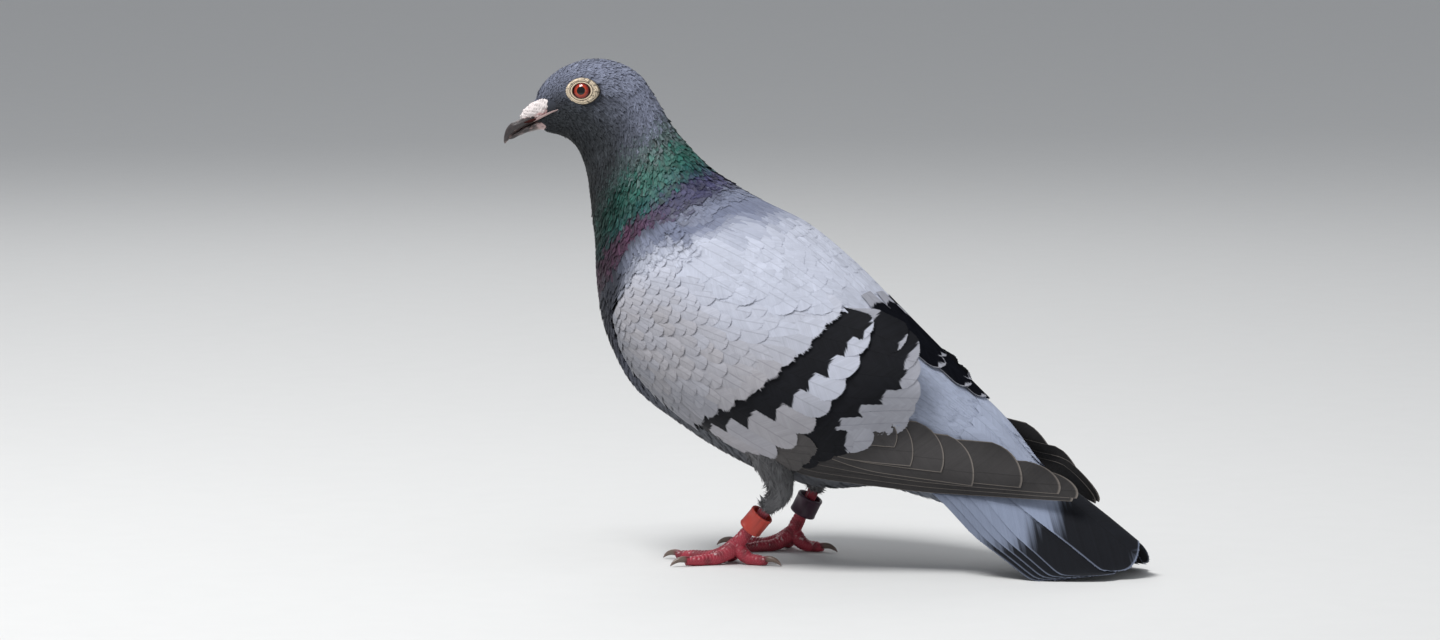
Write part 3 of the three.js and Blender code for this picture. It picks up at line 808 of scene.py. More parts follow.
def body_tint(s, theta, rng):
    """Colour of the plumage of head, neck and body at a place on the body's chart, with painted light on the
    crown and painted shade on the throat, neck front and underside.
    """
    down = from_top(theta)
    c = COLOURS
    wobble = rng.normal(0, 0.1, len(s))
    # The crown's paler colour is painted light from above and reflected sky; the darker cheek and throat are
    # partly painted shade.
    head = blend(c["crown"], c["cheek"], smooth(down, 25, 110))
    head = blend(head, c["throat"], smooth(down, 115, 165))
    below = s + 0.7 * smooth(down, 40, 110) + 2 * wobble
    colour = blend(head, c["neck_top"], smooth(below, 6.9, 7.7) * (1 - smooth(down, 120, 160)))
    colour = blend(colour, c["green"], smooth(below, 7.6, 8.6) * (1 - 0.5 * smooth(down, 130, 170)))
    lower = s + wobble + 0.25 * smooth(down, 60, 120)
    colour = blend(colour, c["teal"], 0.75 * smooth(lower, 8.6, 9.2))
    low = blend(c["violet"], c["magenta"], smooth(down, 50, 95))
    colour = blend(colour, low, smooth(lower, 9.2, 9.6))
    # Painted shade: the slate darkens down the sides towards the breast.
    after = blend(c["slate"], c["slate"] * 0.55, smooth(down, 60, 130))
    shoulder = s + 1.25 * smooth(down, 45, 85) * (1 - smooth(down, 95, 120))
    colour = blend(colour, after, smooth(s + wobble, 10.0, 10.5))
    back = blend(c["mantle"], c["scapular"], smooth(shoulder, 11.4, 12.4))
    back = blend(back, c["rump"], smooth(s, 15.6, 16.3))
    front = blend(after, c["belly"], smooth(s, 12.0, 14.5))
    front = blend(front, c["vent"], smooth(s, 17.6, 19.0))
    trunk = blend(back, front, smooth(down, 92, 114))
    colour = blend(colour, trunk, smooth(s + 0.3 * wobble + 0.2 * smooth(down, 50, 85), 10.1, 10.6))
    spread = 0.04 + 0.24 * smooth(s, 6.4, 7.6) * (1 - smooth(s, 10.0, 10.5))
    # Painted shade: the neck darkens towards its front and underside.
    shaded_neck = smooth(s, 5.4, 7.2) * (1 - smooth(s, 10.8, 12.5))
    colour = colour * (1 - 0.68 * shaded_neck * smooth(down, 60, 130))[:, None]
    return colour * (1 + spread[:, None] * rng.normal(0, 1, (len(s), 1)))


def spared(points):
    """False where the eye ring, cere and gape, seen from the side, leave no room for feathers.
    Points are those of the unturned head."""
    along, up = points[..., 1], points[..., 2]
    eye = np.hypot((along - EYE_AT[0] - 0.2) / 5.9, (up - EYE_AT[1]) / 4.9)
    tilt = math.radians(CERE_TILT)
    ahead, above = along - CERE_AT[1], up - CERE_AT[2]
    long = ahead * math.cos(tilt) + above * math.sin(tilt)
    high = above * math.cos(tilt) - ahead * math.sin(tilt)
    cere = np.hypot(long / 7.0, high / 3.9)
    return (eye > 1) & (cere > 1)


def face_tone(points):
    """How light the plumage of the head is at places of the unturned head: painted shade before and behind
    the eye and below the gape, painted light above the eye."""
    along, up = points[..., 1], points[..., 2]
    tone = 1 + 0.07 * ripple(points, 9.0, 14) + 0.05 * ripple(points, 3.5, 15)
    # lore, crease and chin are painted shade; brow is painted light
    lore = np.exp(-(((along + 79.5) / 4.0) ** 2) - ((up - 166.8 - 0.35 * (along + 79.5)) / 1.3) ** 2)
    crease = np.exp(-(((along + 61.3) / 3.0) ** 2) - ((up - 170.6) / 0.8) ** 2)
    chin = np.exp(-(((along + 80.0) / 7.0) ** 2) - ((up - 157.0) / 3.0) ** 2)
    brow = np.exp(-(((along + 69.0) / 9.0) ** 2) - ((up - 179.0) / 4.0) ** 2)
    return tone * (1 - 0.45 * lore - 0.55 * crease - 0.2 * chin + 0.12 * brow)


def head_coat(body, rng):
    plumage = Plumage("coat_head")
    size = lambda s: 0.70 + 0.09 * s
    s, t = rows_over(body, (0.15, 7.6), size, size, rng)
    points = body_points(s, t, turned=False)
    keep = spared(points)
    s, t, points = s[keep], t[keep], points[keep]
    count = len(s)
    length = (2.3 + 0.46 * s) * rng.uniform(0.8, 1.3, count)
    tint = body_tint(s, t, rng) * (face_tone(points) * rng.normal(1, 0.12, count))[:, None]
    grow(
        plumage, body, s, t, rng.normal(0, 0.12, count), length, 0.4 * length, tint,
        rows=3, columns=3, tip=0.8, roundness=1.4, lift=-0.6, slope=0.65 / length, camber=0.16,
        roll=rng.normal(0, 0.1, count), teeth=6, tooth=0.3 * length, fray=0.7, root_shade=0.35, rng=rng,
    )
    return plumage


def neck_coat(body, rng):
    plumage = Plumage("coat_neck")
    size = lambda s: 1.1 + 0.09 * (s - 7)
    s, t = rows_over(body, (6.5, 10.75), size, size, rng, jitter=0.5)
    count = len(s)
    length = (5.6 + 0.9 * (s - 7)) * rng.uniform(0.75, 1.3, count)
    flat = smooth(s, 9.3, 10.1)
    grow(
        plumage, body, s, t, rng.normal(0, 0.14, count), length, (0.24 + 0.2 * flat) * length,
        body_tint(s, t, rng),
        rows=5, columns=3, tip=0.95, roundness=1.2, lift=-1.2 + 0.2 * flat,
        slope=(1.25 - 0.5 * flat - 0.4 * smooth(s, 10.1, 10.5)) / length, camber=0.4 - 0.35 * flat,
        roll=rng.normal(0, 0.1, count) * (1 - 0.8 * flat), teeth=10,
        tooth=0.26 * length, fray=0.8, root_shade=0.05 + 0.9 * smooth(s, 9.6, 10.2), rng=rng,
    )
    return plumage


COVERED_GAP = 4.0  # a wing that stands further than this off the body covers it


def under_wing(body, hull, s, t):
    """True where a folded wing covers the body."""
    apart = hull.sample(hull.points, s, t) - body.sample(body.points, s, t)
    return np.linalg.norm(apart, axis=-1) > COVERED_GAP


def front_coat(body, hull, rng):
    plumage = Plumage("coat_breast")
    size = lambda s: 2.5
    s, t = rows_over(body, (10.4, 20.0), size, size, rng)
    down = from_top(t)
    keep = (down > 62) & ~under_wing(body, hull, s, t) & ~((s > 17.5) & (down < 95))
    lapping = 0.8 * (1 - smooth(s, 13.0, 15.0)) * smooth(down, 55, 75) * (1 - smooth(down, 95, 110))
    s, t, lapping = s[keep], t[keep], lapping[keep]
    count = len(s)
    length = 8.5 * rng.uniform(0.85, 1.15, count)
    grow(
        plumage, hull, s, t, rng.normal(0, 0.08, count), length, (0.62 - 0.28 * lapping) * length,
        body_tint(s, t, rng),
        rows=6, columns=5, tip=0.45 + 0.3 * lapping, roundness=1.8, lift=lapping - 1.2,
        slope=(1.3 - 0.9 * lapping) / length, camber=0.3 - 0.3 * lapping,
        roll=rng.normal(0, 0.04, count), teeth=26, tooth=1.0, fray=0.7, root_shade=0.5, rng=rng,
    )
    return plumage


# The lower border of the feathers that cover the wing's upper edge, as along and up.
CREASE = np.array(
    [
        (-60, 124), (-44, 120), (-23.4, 114.5), (-10, 106), (0.5, 99.5), (15, 95), (30, 92.5),
        (46, 93.0), (62, 91.0), (68, 86), (80, 60),
    ]
)


def above_crease(points):
    """True for places on top of the body and above the wings' upper border."""
    x, y, z = points[..., 0], points[..., 1], points[..., 2]
    lowered = np.where(x < 0, RIGHT_TUCK * smooth(y, 5, 60), 0.0)
    return (np.abs(x) < 17) | (z + 0.8 * lowered > height_on(CREASE, y))


def mantle_coat(hull, rng):
    plumage = Plumage("coat_back")
    size = lambda s: max(2.6, 3.2 + 0.75 * (s - 11))
    s, t = rows_over(hull, (10.2, 16.2), size, size, rng)
    length = 11 + 3.1 * (s - 11)
    ends = hull.place(s + length / hull.scale_at(s, t)[:, 0], t, np.zeros(len(s)))
    last = np.where(ends[:, 0] < 0, 50.0, 66.0)
    keep = above_crease(ends) & (from_top(t) < 100) & (ends[:, 1] < last)
    s, t, length = s[keep], t[keep], length[keep]
    count = len(s)
    down = from_top(t)
    sign = np.where(t > np.pi, -1.0, 1.0)
    length = length * rng.uniform(0.93, 1.07, count)
    heading = sign * -0.16 * smooth(down, 15, 60)
    over = 0.7 * smooth(down, 20, 40) * smooth(s, 11.2, 12.2)
    grow(
        plumage, hull, s, t, heading + rng.normal(0, 0.04, count), length, 0.66 * length,
        body_tint(s, t, rng),
        rows=9, columns=7, tip=0.38, roundness=2.0, lift=over - 1.0,
        slope=(0.3 + 0.35 * smooth(s, 11.0, 12.2)) / length, camber=0.05,
        roll=rng.normal(0, 0.012, count), curl=-0.2, teeth=50, tooth=0.4, fray=0.9,
        root_shade=0.96, rng=rng,
    )
    return plumage


def rump_coat(body, rng):
    plumage = Plumage("coat_rump")
    size = lambda s: 3.3
    s, t = rows_over(body, (15.4, 19.3), size, size, rng)
    under_right = (t < np.pi) & (from_top(t) > 50) & (s < 17.3)
    keep = (from_top(t) < 100) & ~under_right
    s, t = s[keep], t[keep]
    count = len(s)
    length = (14.5 + 1.2 * (s - 15)) * rng.uniform(0.9, 1.1, count)
    grow(
        plumage, body, s, t, rng.normal(0, 0.07, count), length, 0.62 * length, body_tint(s, t, rng),
        rows=8, columns=7, tip=0.45, roundness=1.8, lift=-1.0, slope=0.65 / length, camber=0.04,
        roll=rng.normal(0, 0.008, count), curl=-0.2, teeth=44, tooth=1.6, fray=0.9, root_shade=0.95, rng=rng,
    )
    return plumage


# Long coverts over the root of the tail, and those of the far wing that reach over the rump: each
# feather's end as section and degrees from the top line, then its length and width.
TAIL_COVERTS = [
    (20.4, 74, 30, 12), (20.4, -74, 30, 12), (20.3, 52, 30, 12), (20.3, -52, 30, 12),
    (20.2, 32, 30, 12), (20.2, -32, 30, 12), (20.0, 14, 30, 12), (20.0, -14, 30, 12), (19.6, 3, 28, 12),
]
FAR_TERTIALS = [
    (18.0, 66, 36, 14), (18.1, 44, 38, 14), (18.2, 22, 38, 14), (18.2, 2, 38, 14),
    (17.4, 56, 34, 14), (17.5, 34, 36, 14), (17.6, 12, 36, 14), (17.8, -5, 36, 14),
    (16.9, 24, 28, 14), (17.0, 2, 30, 14), (17.1, -12, 34, 13),
]


def set_by_ends(plumage, body, table, lift, tint, marks, rng, **shape):
    """Feathers that follow the body, given by their ends."""
    table = np.array(table, float)
    theta = np.radians(table[:, 1]) % (2 * np.pi)
    length = table[:, 2]
    s = table[:, 0] - length / body.scale_at(table[:, 0] - 0.7, theta)[:, 0]
    grow(plumage, body, s, theta, 0.0, length, table[:, 3], tint, lift=lift, marks=marks, rng=rng, **shape)


def varied(colour, spread, count, rng):
    """A colour for each feather, a little lighter or darker than the one given."""
    return np.broadcast_to(colour, (count, 3)) * (1 + spread * rng.normal(0, 1, (count, 1)))


def tail_coverts(body, rng):
    plumage = Plumage("coat_tail_coverts")
    tint = varied(COLOURS["rump"], 0.05, len(TAIL_COVERTS), rng)
    set_by_ends(
        plumage, body, TAIL_COVERTS, -0.2, tint, None, rng,
        rows=14, columns=9, tip=0.45, roundness=1.7, slope=0.01, camber=0.05, teeth=70, tooth=1.6,
        fray=0.9, root_shade=0.97,
    )
    return plumage


def far_tertials(body, rng):
    plumage = Plumage("coat_far_tertials")
    count = len(FAR_TERTIALS)
    length = np.array(FAR_TERTIALS)[:, 2]
    tint = np.broadcast_to(COLOURS["covert"], (count, 3))
    set_by_ends(
        plumage, body, FAR_TERTIALS, -0.2, tint, bar_marks(count, 5.0, length - 1.5, 0.9), rng,
        rows=18, columns=11, tip=0.13, roundness=2.4, slope=0.022, camber=0.03, teeth=60, tooth=0.4,
        fray=0.6, root_shade=0.97,
    )
    return plumage


# ---- The folded wings ------------------------------------------------------------------------


class Mirrored:
    """The left wing's chart moved to the right side, where the wing lies a little lower."""

    reversed = True

    def __init__(self, chart):
        self.chart = chart

    def place(self, u, v, height):
        points = self.chart.place(u, v, height)
        x, y, z = points[..., 0], points[..., 1], points[..., 2]
        tuck = RIGHT_TUCK * smooth(y, *RIGHT_TUCK_Y) * smooth(z, 48, 85)
        rise = RIGHT_RISE * smooth(y, 68, 92) * (1 - smooth(y, 112, 134))
        drop = RIGHT_TIP_DROP * smooth(y, 80, 130)
        return np.stack([-x, y + RIGHT_REACH * smooth(y, 95, 131), z - tuck + rise - drop], -1)

    def scale_at(self, u, v):
        return self.chart.scale_at(u, v)


class Flat:
    """A chart whose coordinates already are millimetres."""

    reversed = False

    def __init__(self, chart):
        self.chart = chart

    def place(self, u, v, height):
        return self.chart.place(u, v, height)

    def scale_at(self, u, v):
        return np.ones(np.shape(u) + (2,))


# Tips of the wing's larger feathers as along, up, heading below the level in degrees, width, and
# for greater coverts and secondaries also length, how much of the end is pale beyond the black
# bar, and how far the tip swings sideways.
MEDIANS = [
    (44.3, 94.0, 14, 10), (40.8, 89.0, 14, 10), (37.6, 83.0, 17, 10), (33.1, 78.4, 20, 10),
    (28.6, 73.9, 24, 10), (24.0, 69.6, 27, 10), (18.4, 65.4, 29, 10), (11.6, 61.3, 31, 10),
    (4.1, 58.0, 33, 10), (-3.6, 54.3, 35, 10), (-11.0, 50.4, 38, 9),
]
GREATERS = [
    (57.0, 88.6, 13, 9, 26, 2.4, -0.03), (56.8, 83.6, 11, 12, 40, 7.0, -0.05),
    (55.0, 75.6, 13, 13, 44, 9.5, -0.05), (51.4, 67.4, 19, 13, 44, 12.5, -0.05),
    (46.9, 60.4, 24, 12.5, 44, 13.0, -0.05), (41.2, 53.6, 27, 12, 44, 14.5, -0.05),
    (33.6, 47.4, 28, 12, 44, 19.0, -0.05), (24.2, 42.8, 27, 11, 40, 20.0, -0.05),
    (15.1, 41.0, 27, 11, 36, 20.0, -0.05),
]
SECONDARIES = [
    (69.3, 84.6, 20, 11, 26, 1.6, -0.04), (74.5, 79.6, 12, 14, 44, 3.5, -0.04),
    (75.6, 73.4, 8, 15, 60, 5.5, 0.0), (76.2, 66.6, 4, 16, 62, 12.0, 0.02),
    (73.9, 61.6, 2, 14, 62, 17.0, 0.03), (71.0, 57.0, -1, 13, 62, 21.0, 0.02),
    (65.5, 53.0, -2, 12, 60, 18.0, 0.02), (59.5, 50.2, -2, 12, 56, 10.0, 0.02),
    (53.0, 48.0, 1, 12, 52, 3.0, 0.0), (46.5, 45.4, 4, 12, 44, 0.0, 0.0),
    (40.0, 42.4, 6, 12, 38, 0.0, 0.0),
]
PRIMARIES = [
    (67.5, 53.6, 4, 15), (74.2, 48.3, 5, 18), (85.2, 45.4, 7, 16.5), (96.0, 40.7, 7.5, 17),
    (112.3, 39.4, 6, 15), (124.9, 35.4, 4.5, 11), (131.2, 33.0, 3.6, 9), (129.5, 31.4, 3.0, 8),
]
PRIMARY_PAINTED_SHADE = {"left": 1.0, "right": 0.4}  # painted shade: the far, right wing's primaries are darkened as though in shadow


def row_of(plumage, chart, table, length, tint, marks, rng, bend=0.0, **shape):
    """One row of big feathers set out by their tips. Bend is how far the tip swings sideways, as
    a share of the length."""
    table = np.array(table)
    heading = -np.radians(table[:, 2])
    length = np.broadcast_to(np.asarray(length, float), (len(table),))
    swing = bend * length
    u = table[:, 0] - np.cos(heading) * length + np.sin(heading) * swing
    v = table[:, 1] - np.sin(heading) * length - np.cos(heading) * swing
    grow(plumage, chart, u, v, heading, length, table[:, 3], tint, marks=marks, rng=rng, bend=bend, **shape)


def wing_heading(y, z):
    """How many degrees below the level the lesser coverts point."""
    return np.clip(30 - 0.3 * (y + 4.5) - 0.6 * (z - 68.7), 8, 48)


WING_EDGE = np.array(
    [(-44.0, 90.0), (-41.5, 76.0), (-31.0, 62.0), (-15.0, 51.5), (0.0, 44.5), (18.0, 39.0), (40.0, 38.0)]
)
WING_TOP = np.array(
    [
        (-43.0, 97.0), (-37.0, 107.0), (-22.0, 119.0), (-2.0, 123.0),
        (16.0, 118.0), (34.0, 107.0), (52.0, 95.0),
    ]
)


WRIST = (-46.0, 86.0)
COVERT_LEAN = 27  # degrees that the rows' line of march points below the level
COVERT_MARCH = (-2.0, 105)  # first and last row, from the wrist


def lesser_places(rng):
    """Roots of the small coverts, in rows that widen away from the wrist."""
    lean = math.radians(COVERT_LEAN)
    ahead = np.array([math.cos(lean), -math.sin(lean)])
    aside = np.array([math.sin(lean), math.cos(lean)])
    found = []
    p, odd = COVERT_MARCH[0], 0
    while p < COVERT_MARCH[1]:
        gap = 3.3 + 0.045 * max(p, 0)
        q = (np.arange(-14, 20) + 0.5 * odd) * gap
        place = WRIST + ahead * p + aside * q[:, None] + rng.normal(0, 0.16 * gap, (len(q), 2))
        found.append(np.column_stack([place, np.full(len(q), gap)]))
        p += 2.75 + 0.045 * max(p, 0)
        odd = 1 - odd
    places = np.concatenate(found)
    y, z = places[:, 0], places[:, 1]
    inside = z > height_on(WING_EDGE, y) - 1.0
    inside &= z < height_on(WING_TOP, y) + 1.0
    medians = np.array(MEDIANS)[::-1]
    reach = 2.1 * places[:, 2]
    slant = np.radians(wing_heading(y, z))
    tip_y, tip_z = y + reach * np.cos(slant), z - reach * np.sin(slant)
    inside &= tip_z > height_on(medians, tip_y, left=40) + 3.5
    inside &= tip_z < height_on(CREASE, tip_y) + 2.5
    inside &= (tip_y < 47) & (y > -44.5)
    return places[inside]


def covert_tint(y, z, rng):
    colour = blend(COLOURS["covert"], COLOURS["covert_warm"], rng.uniform(0.1, 0.6, len(y)))
    # low is painted shade, darkening the coverts towards the wing's lower edge
    low = smooth(height_on(WING_EDGE, y) + 26 - z, 0, 26)
    high = smooth(z - height_on(CREASE, y), -22, -2)
    colour = blend(colour, COLOURS["scapular"], 0.8 * high)
    colour = blend(colour, COLOURS["belly"] * 1.2, 0.6 * low)
    return varied(colour, 0.022, len(y), rng)


def coverts(chart, name, rng):
    plumage = Plumage(name)
    places = lesser_places(rng)
    order = np.argsort(places[:, 0])
    y, z, gap = places[order].T
    count = len(y)
    heading = -np.radians(wing_heading(y, z)) + rng.normal(0, 0.06, count)
    length = 2.6 * gap * rng.uniform(0.94, 1.06, count)
    puff = 1 - smooth(y, -30, 25)
    # The foremost and lowest come out from under the breast.
    low = 1 - smooth(z - height_on(WING_EDGE, y), 2, 10)
    tucked = np.maximum(1 - smooth(y, -43, -35), low * (1 - smooth(y, -15, 0)))
    grow(
        plumage, chart, y, z, heading, length, 1.55 * gap, covert_tint(y, z, rng),
        rows=8, columns=7, tip=0.42, roundness=1.9, lift=-0.45 - 1.6 * tucked,
        slope=(0.42 + 0.5 * puff + 1.5 * tucked) / length,
        camber=0.03 + 0.18 * puff, roll=-0.02 + rng.normal(0, 0.008, count),
        curl=-0.18, teeth=30, tooth=0.22, fray=0.8, root_shade=0.96, rng=rng,
    )
    table = np.array(MEDIANS)
    row_of(
        plumage, chart, MEDIANS, 22.0, covert_tint(table[:, 0], table[:, 1], rng), None, rng,
        rows=10, columns=9, tip=0.26, roundness=2.1, lift=-0.75, slope=0.040, camber=0.06,
        roll=-0.03, teeth=50, tooth=0.9, fray=0.8, root_shade=0.95, bend=-0.03,
    )
    return plumage


# Dark coverts over the roots of the primaries.
PRIMARY_COVERTS = [
    (40.0, 45.5, 3, 10), (37.0, 42.5, 4, 10), (33.0, 39.6, 6, 10), (27.0, 38.2, 8, 9), (19.0, 38.6, 12, 8),
]
PRIMARY_ROOT_Y = 26.0  # the primaries' roots lie about here, under the secondaries


def bar_marks(count, start, end, rim=0.0):
    return np.column_stack([np.broadcast_to(value, count) for value in (start, end, rim, 0.0)])


def greater_coverts(plumage, chart, rng):
    table = np.array(GREATERS)
    length = table[:, 4]
    tint = covert_tint(table[:, 0], table[:, 1] + 20, rng)
    row_of(
        plumage, chart, table, length, tint, bar_marks(len(table), 8.0, length - table[:, 5]), rng,
        rows=20, columns=11, tip=0.17, roundness=2.0, lift=-1.25, slope=0.95 / length, camber=0.05,
        roll=-0.04, teeth=90, tooth=0.5, fray=0.6, root_shade=0.97, bend=table[:, 6], shaft=-0.3,
    )


def secondaries(plumage, chart, rng):
    table = np.array(SECONDARIES)
    length = table[:, 4]
    tint = varied(COLOURS["covert"], 0.03, len(table), rng)
    row_of(
        plumage, chart, table, length, tint, bar_marks(len(table), 10.0, length - table[:, 5]), rng,
        rows=24, columns=11, tip=0.14, roundness=2.0, lift=-2.1, slope=1.4 / length, camber=0.05,
        roll=-0.04, teeth=70, tooth=0.35, fray=0.5, root_shade=0.97, bend=table[:, 6], shaft=-0.35,
    )


def primaries(plumage, chart, tone, rng):
    table = np.array(PRIMARIES)
    length = table[:, 0] - PRIMARY_ROOT_Y
    paler = np.linspace(1.2, 0.75, len(table))[:, None] * (1 + 0.04 * rng.normal(0, 1, (len(table), 1)))
    # tone below 1 is painted shade on the right wing's primaries
    tint = COLOURS["primary"] * tone * paler
    row_of(
        plumage, chart, table, length, tint, bar_marks(len(table), NO_BAR, NO_BAR, 0.85), rng,
        rows=40, columns=15, tip=15.0 / length, roundness=1.8, skew=-0.7, lift=-2.0,
        slope=1.3 / length, camber=0.02, roll=-0.05, teeth=0, root_shade=0.95, bend=0.01, shaft=-0.4,
    )


def primary_coverts(plumage, chart, rng):
    table = np.array(PRIMARY_COVERTS)
    tint = varied(COLOURS["primary"] * 1.6, 0.06, len(table), rng)
    row_of(
        plumage, chart, table, 26.0, tint, bar_marks(len(table), NO_BAR, NO_BAR), rng,
        rows=16, columns=9, tip=0.25, roundness=1.9, lift=-1.3, slope=0.03, camber=0.06,
        roll=-0.04, teeth=40, tooth=0.5, fray=0.6, root_shade=0.95,
    )


def flight(chart, name, tone, rng):
    """The wing's big feathers, with the greater coverts over their roots."""
    plumage = Plumage(name)
    greater_coverts(plumage, chart, rng)
    secondaries(plumage, chart, rng)
    primaries(plumage, chart, tone, rng)
    primary_coverts(plumage, chart, rng)
    return plumage


# ---- The tail ----------------------------------------------------------------------------------

# Half of the tail, middle feather first: tip out and along, width, then root out and along.
TAIL_FEATHERS = [
    (5.0, 152.5, 29, 4.0, 94), (15.5, 147.5, 28, 9.0, 88), (17.0, 144.0, 28, 12.0, 86),
    (18.2, 140.5, 27.5, 14.0, 83), (19.4, 137.0, 27, 15.6, 80), (20.5, 133.0, 26, 17.0, 77),
]
TAIL_END = 152.5
TAIL_RIDGE = (8.4, 0.75, 0.002)  # height of the middle over the way forward from its end
TAIL_SIDE = (1.2, 0.004)  # how it falls away sideways
TAIL_ROUND = 2.5  # half width of the rounded ridge
TAIL_ROLL = 0.06  # how much steeper the left half falls
TAIL_STEP = 0.45  # how far each feather lies under the one before
TAIL_GROUND = 0.7
TAIL_SOFTNESS = 0.7  # how gently a feather that reaches the floor bends to lie on it


class TailSheet:
    """The spread tail as one sheet over along and right, which bends to lie on the floor."""

    reversed = False

    def place(self, u, v, height):
        ahead = TAIL_END - u
        top = TAIL_RIDGE[0] + TAIL_RIDGE[1] * ahead - TAIL_RIDGE[2] * ahead**2
        side = TAIL_SIDE[0] * (np.hypot(v, TAIL_ROUND) - TAIL_ROUND) - TAIL_SIDE[1] * v**2 - TAIL_ROLL * v
        above = TAIL_SOFTNESS * np.logaddexp(0, (top - side) / TAIL_SOFTNESS)
        return np.stack([-v, u, above + height], -1)

    def scale_at(self, u, v):
        return np.ones(u.shape + (2,)) * (1.2, 1.4)


def tail_coat(rng):
    plumage = Plumage("coat_tail")
    sheet = TailSheet()
    for rank in reversed(range(len(TAIL_FEATHERS))):
        out, along, width, root_out, root_along = TAIL_FEATHERS[rank]
        for sign in (-1.0, 1.0):
            u, v = np.array([root_along], float), np.array([-sign * root_out])
            way = (np.array([[along, -sign * out]]) - np.stack([u, v], -1)) * sheet.scale_at(u, v)
            length = np.linalg.norm(way)
            level = len(TAIL_FEATHERS) - rank + (rank == 0 and sign > 0)
            tint = COLOURS["tail_base"] * (1 - 0.07 * rank) * (1 + 0.04 * rng.normal())
            grow(
                plumage, sheet, u, v, math.atan2(way[0, 1], way[0, 0]), length, width, tint[None],
                rows=40, columns=17, tip=0.2, roundness=1.9, root_width=0.9 if rank == 0 else 0.6,
                camber=0.03, slope=0.0, lift=TAIL_GROUND + TAIL_STEP * (level - 1),
                teeth=110, tooth=0.35, fray=0.6, root_shade=0.95,
                marks=bar_marks(1, length - 38.0, length + 2.0, 0.5), rng=rng,
                shaft=0.0 if rank == 0 else -0.3 * sign,
            )
    return plumage


# ---- Solid parts -----------------------------------------------------------------------------------


def ripple(points, wavelength, seed, waves=9):
    """Soft bumps between about -1 and 1, from waves that cross each other."""
    rng = np.random.default_rng(seed)
    total = np.zeros(points.shape[:-1])
    for _ in range(waves):
        direction = unit(rng.normal(size=3)) / wavelength * rng.uniform(0.6, 1.6)
        total += np.sin(2 * np.pi * (points @ direction) + rng.uniform(0, 2 * np.pi))
    return total / math.sqrt(waves) * 0.8


def closed_grid(points, filled_ends):
    """Corners and faces of a grid that closes round its second axis."""
    rows, columns = points.shape[:2]
    i, j = np.meshgrid(np.arange(rows - 1), np.arange(columns), indexing="ij")
    a, b = (i * columns + j).ravel(), (i * columns + (j + 1) % columns).ravel()
    quads = np.stack([a, a + columns, b + columns, b], 1)
    flat = points.reshape(-1, 3)
    if not filled_ends:
        return flat, quads, np.zeros((0, 3), int)
    ends = np.array([points[0].mean(0), points[-1].mean(0)])
    ring = np.arange(columns)
    start = np.stack([ring, (ring + 1) % columns, np.full(columns, len(flat))], 1)
    last = (rows - 1) * columns
    finish = np.stack([last + (ring + 1) % columns, last + ring, np.full(columns, len(flat) + 1)], 1)
    return np.concatenate([flat, ends]), quads, np.concatenate([start, finish])


def faces_inwards(grid):
    """True where the quads of a closed grid look towards its middle."""
    points = grid - grid.mean((0, 1))
    along = points[1:] - points[:-1]
    around = (np.roll(points, -1, 1) - points)[:-1]
    return np.sum(points[:-1] * np.cross(along, around)) < 0


class Sculpture:
    """Closed grids joined into one piece, each corner with its own colour."""

    def __init__(self, name):
        self.name = name
        self.count = 0
        self.points, self.quads, self.tris, self.tints = [], [], [], []

    def add(self, grid, tint, filled_ends=True):
        tint = np.broadcast_to(tint, grid.shape)
        if faces_inwards(grid):
            grid, tint = grid[:, ::-1], tint[:, ::-1]
        points, quads, tris = closed_grid(grid, filled_ends)
        tint = tint.reshape(-1, 3)
        self.points.append(points)
        self.quads.append(quads + self.count)
        self.tris.append(tris + self.count)
        self.tints.append(np.concatenate([tint, tint[:1], tint[-1:]]) if filled_ends else tint)
        self.count += len(points)

    def build(self, material, slot, *nodes):
        points, quads, tris = (np.concatenate(part) for part in (self.points, self.quads, self.tris))
        mesh = mesh_of(self.name, points, quads, tris)
        add_colour(mesh, "Tint", np.concatenate(self.tints))
        piece = piece_of(self.name, mesh, material)
        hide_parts(*nodes)


def tube_grid(path, radii, steps, around, top=(0, 0, 1)):
    """Rings of points along a smooth path; angle 0 of each ring faces the way of top. Returns the
    points, each point's way out, and the share along the path and angle of each."""
    path, radii = np.asarray(path, float), np.asarray(radii, float)
    t = np.linspace(0, 1, steps)
    centre = catmull(path, t * (len(path) - 1))
    radius = catmull(radii[:, None], t * (len(radii) - 1))[:, 0]
    lie = unit(np.gradient(centre, axis=0))
    top = np.asarray(top, float)
    first = unit(top - (lie @ top)[:, None] * lie)
    second = np.cross(first, lie)
    angle = turns(around)
    cosine, sine = np.cos(angle)[:, None], np.sin(angle)[:, None]
    way = first[:, None] * cosine + second[:, None] * sine
    share, turn = np.meshgrid(t, angle, indexing="ij")
    return centre[:, None] + way * radius[:, None, None], way, share, turn


def painted_material(name, roughness=0.6, specular=0.4, grain=900.0, variation=0.12, bump=0.3,
                     distance=0.0001, **constants):
    """The corner colours of a piece with a fine grain over them."""
    shader = Shader(name, Roughness=roughness, Specular_IOR_Level=specular, **constants)
    tint = shader.node("Attribute", attribute_name="Tint").outputs["Color"]
    grained = shader.noise(shader.node("TexCoord").outputs["Object"], grain, 3.0, 0.6)
    light = shader.swayed(1.0, grained, 2 * variation)
    shader.put(shader.surface.inputs["Base Color"], shader.scaled(tint, light))
    shader.bump(grained, bump, distance)
    return shader.material


# ---- Skin ----------------------------------------------------------------------------------------

FLESH = ("head", "neck", "trunk", "tail", "wing_left", "wing_right", "leg_left", "leg_right")


def leg_points(side, *names):
    return [np.array(LEGS[side][name], float) for name in names]


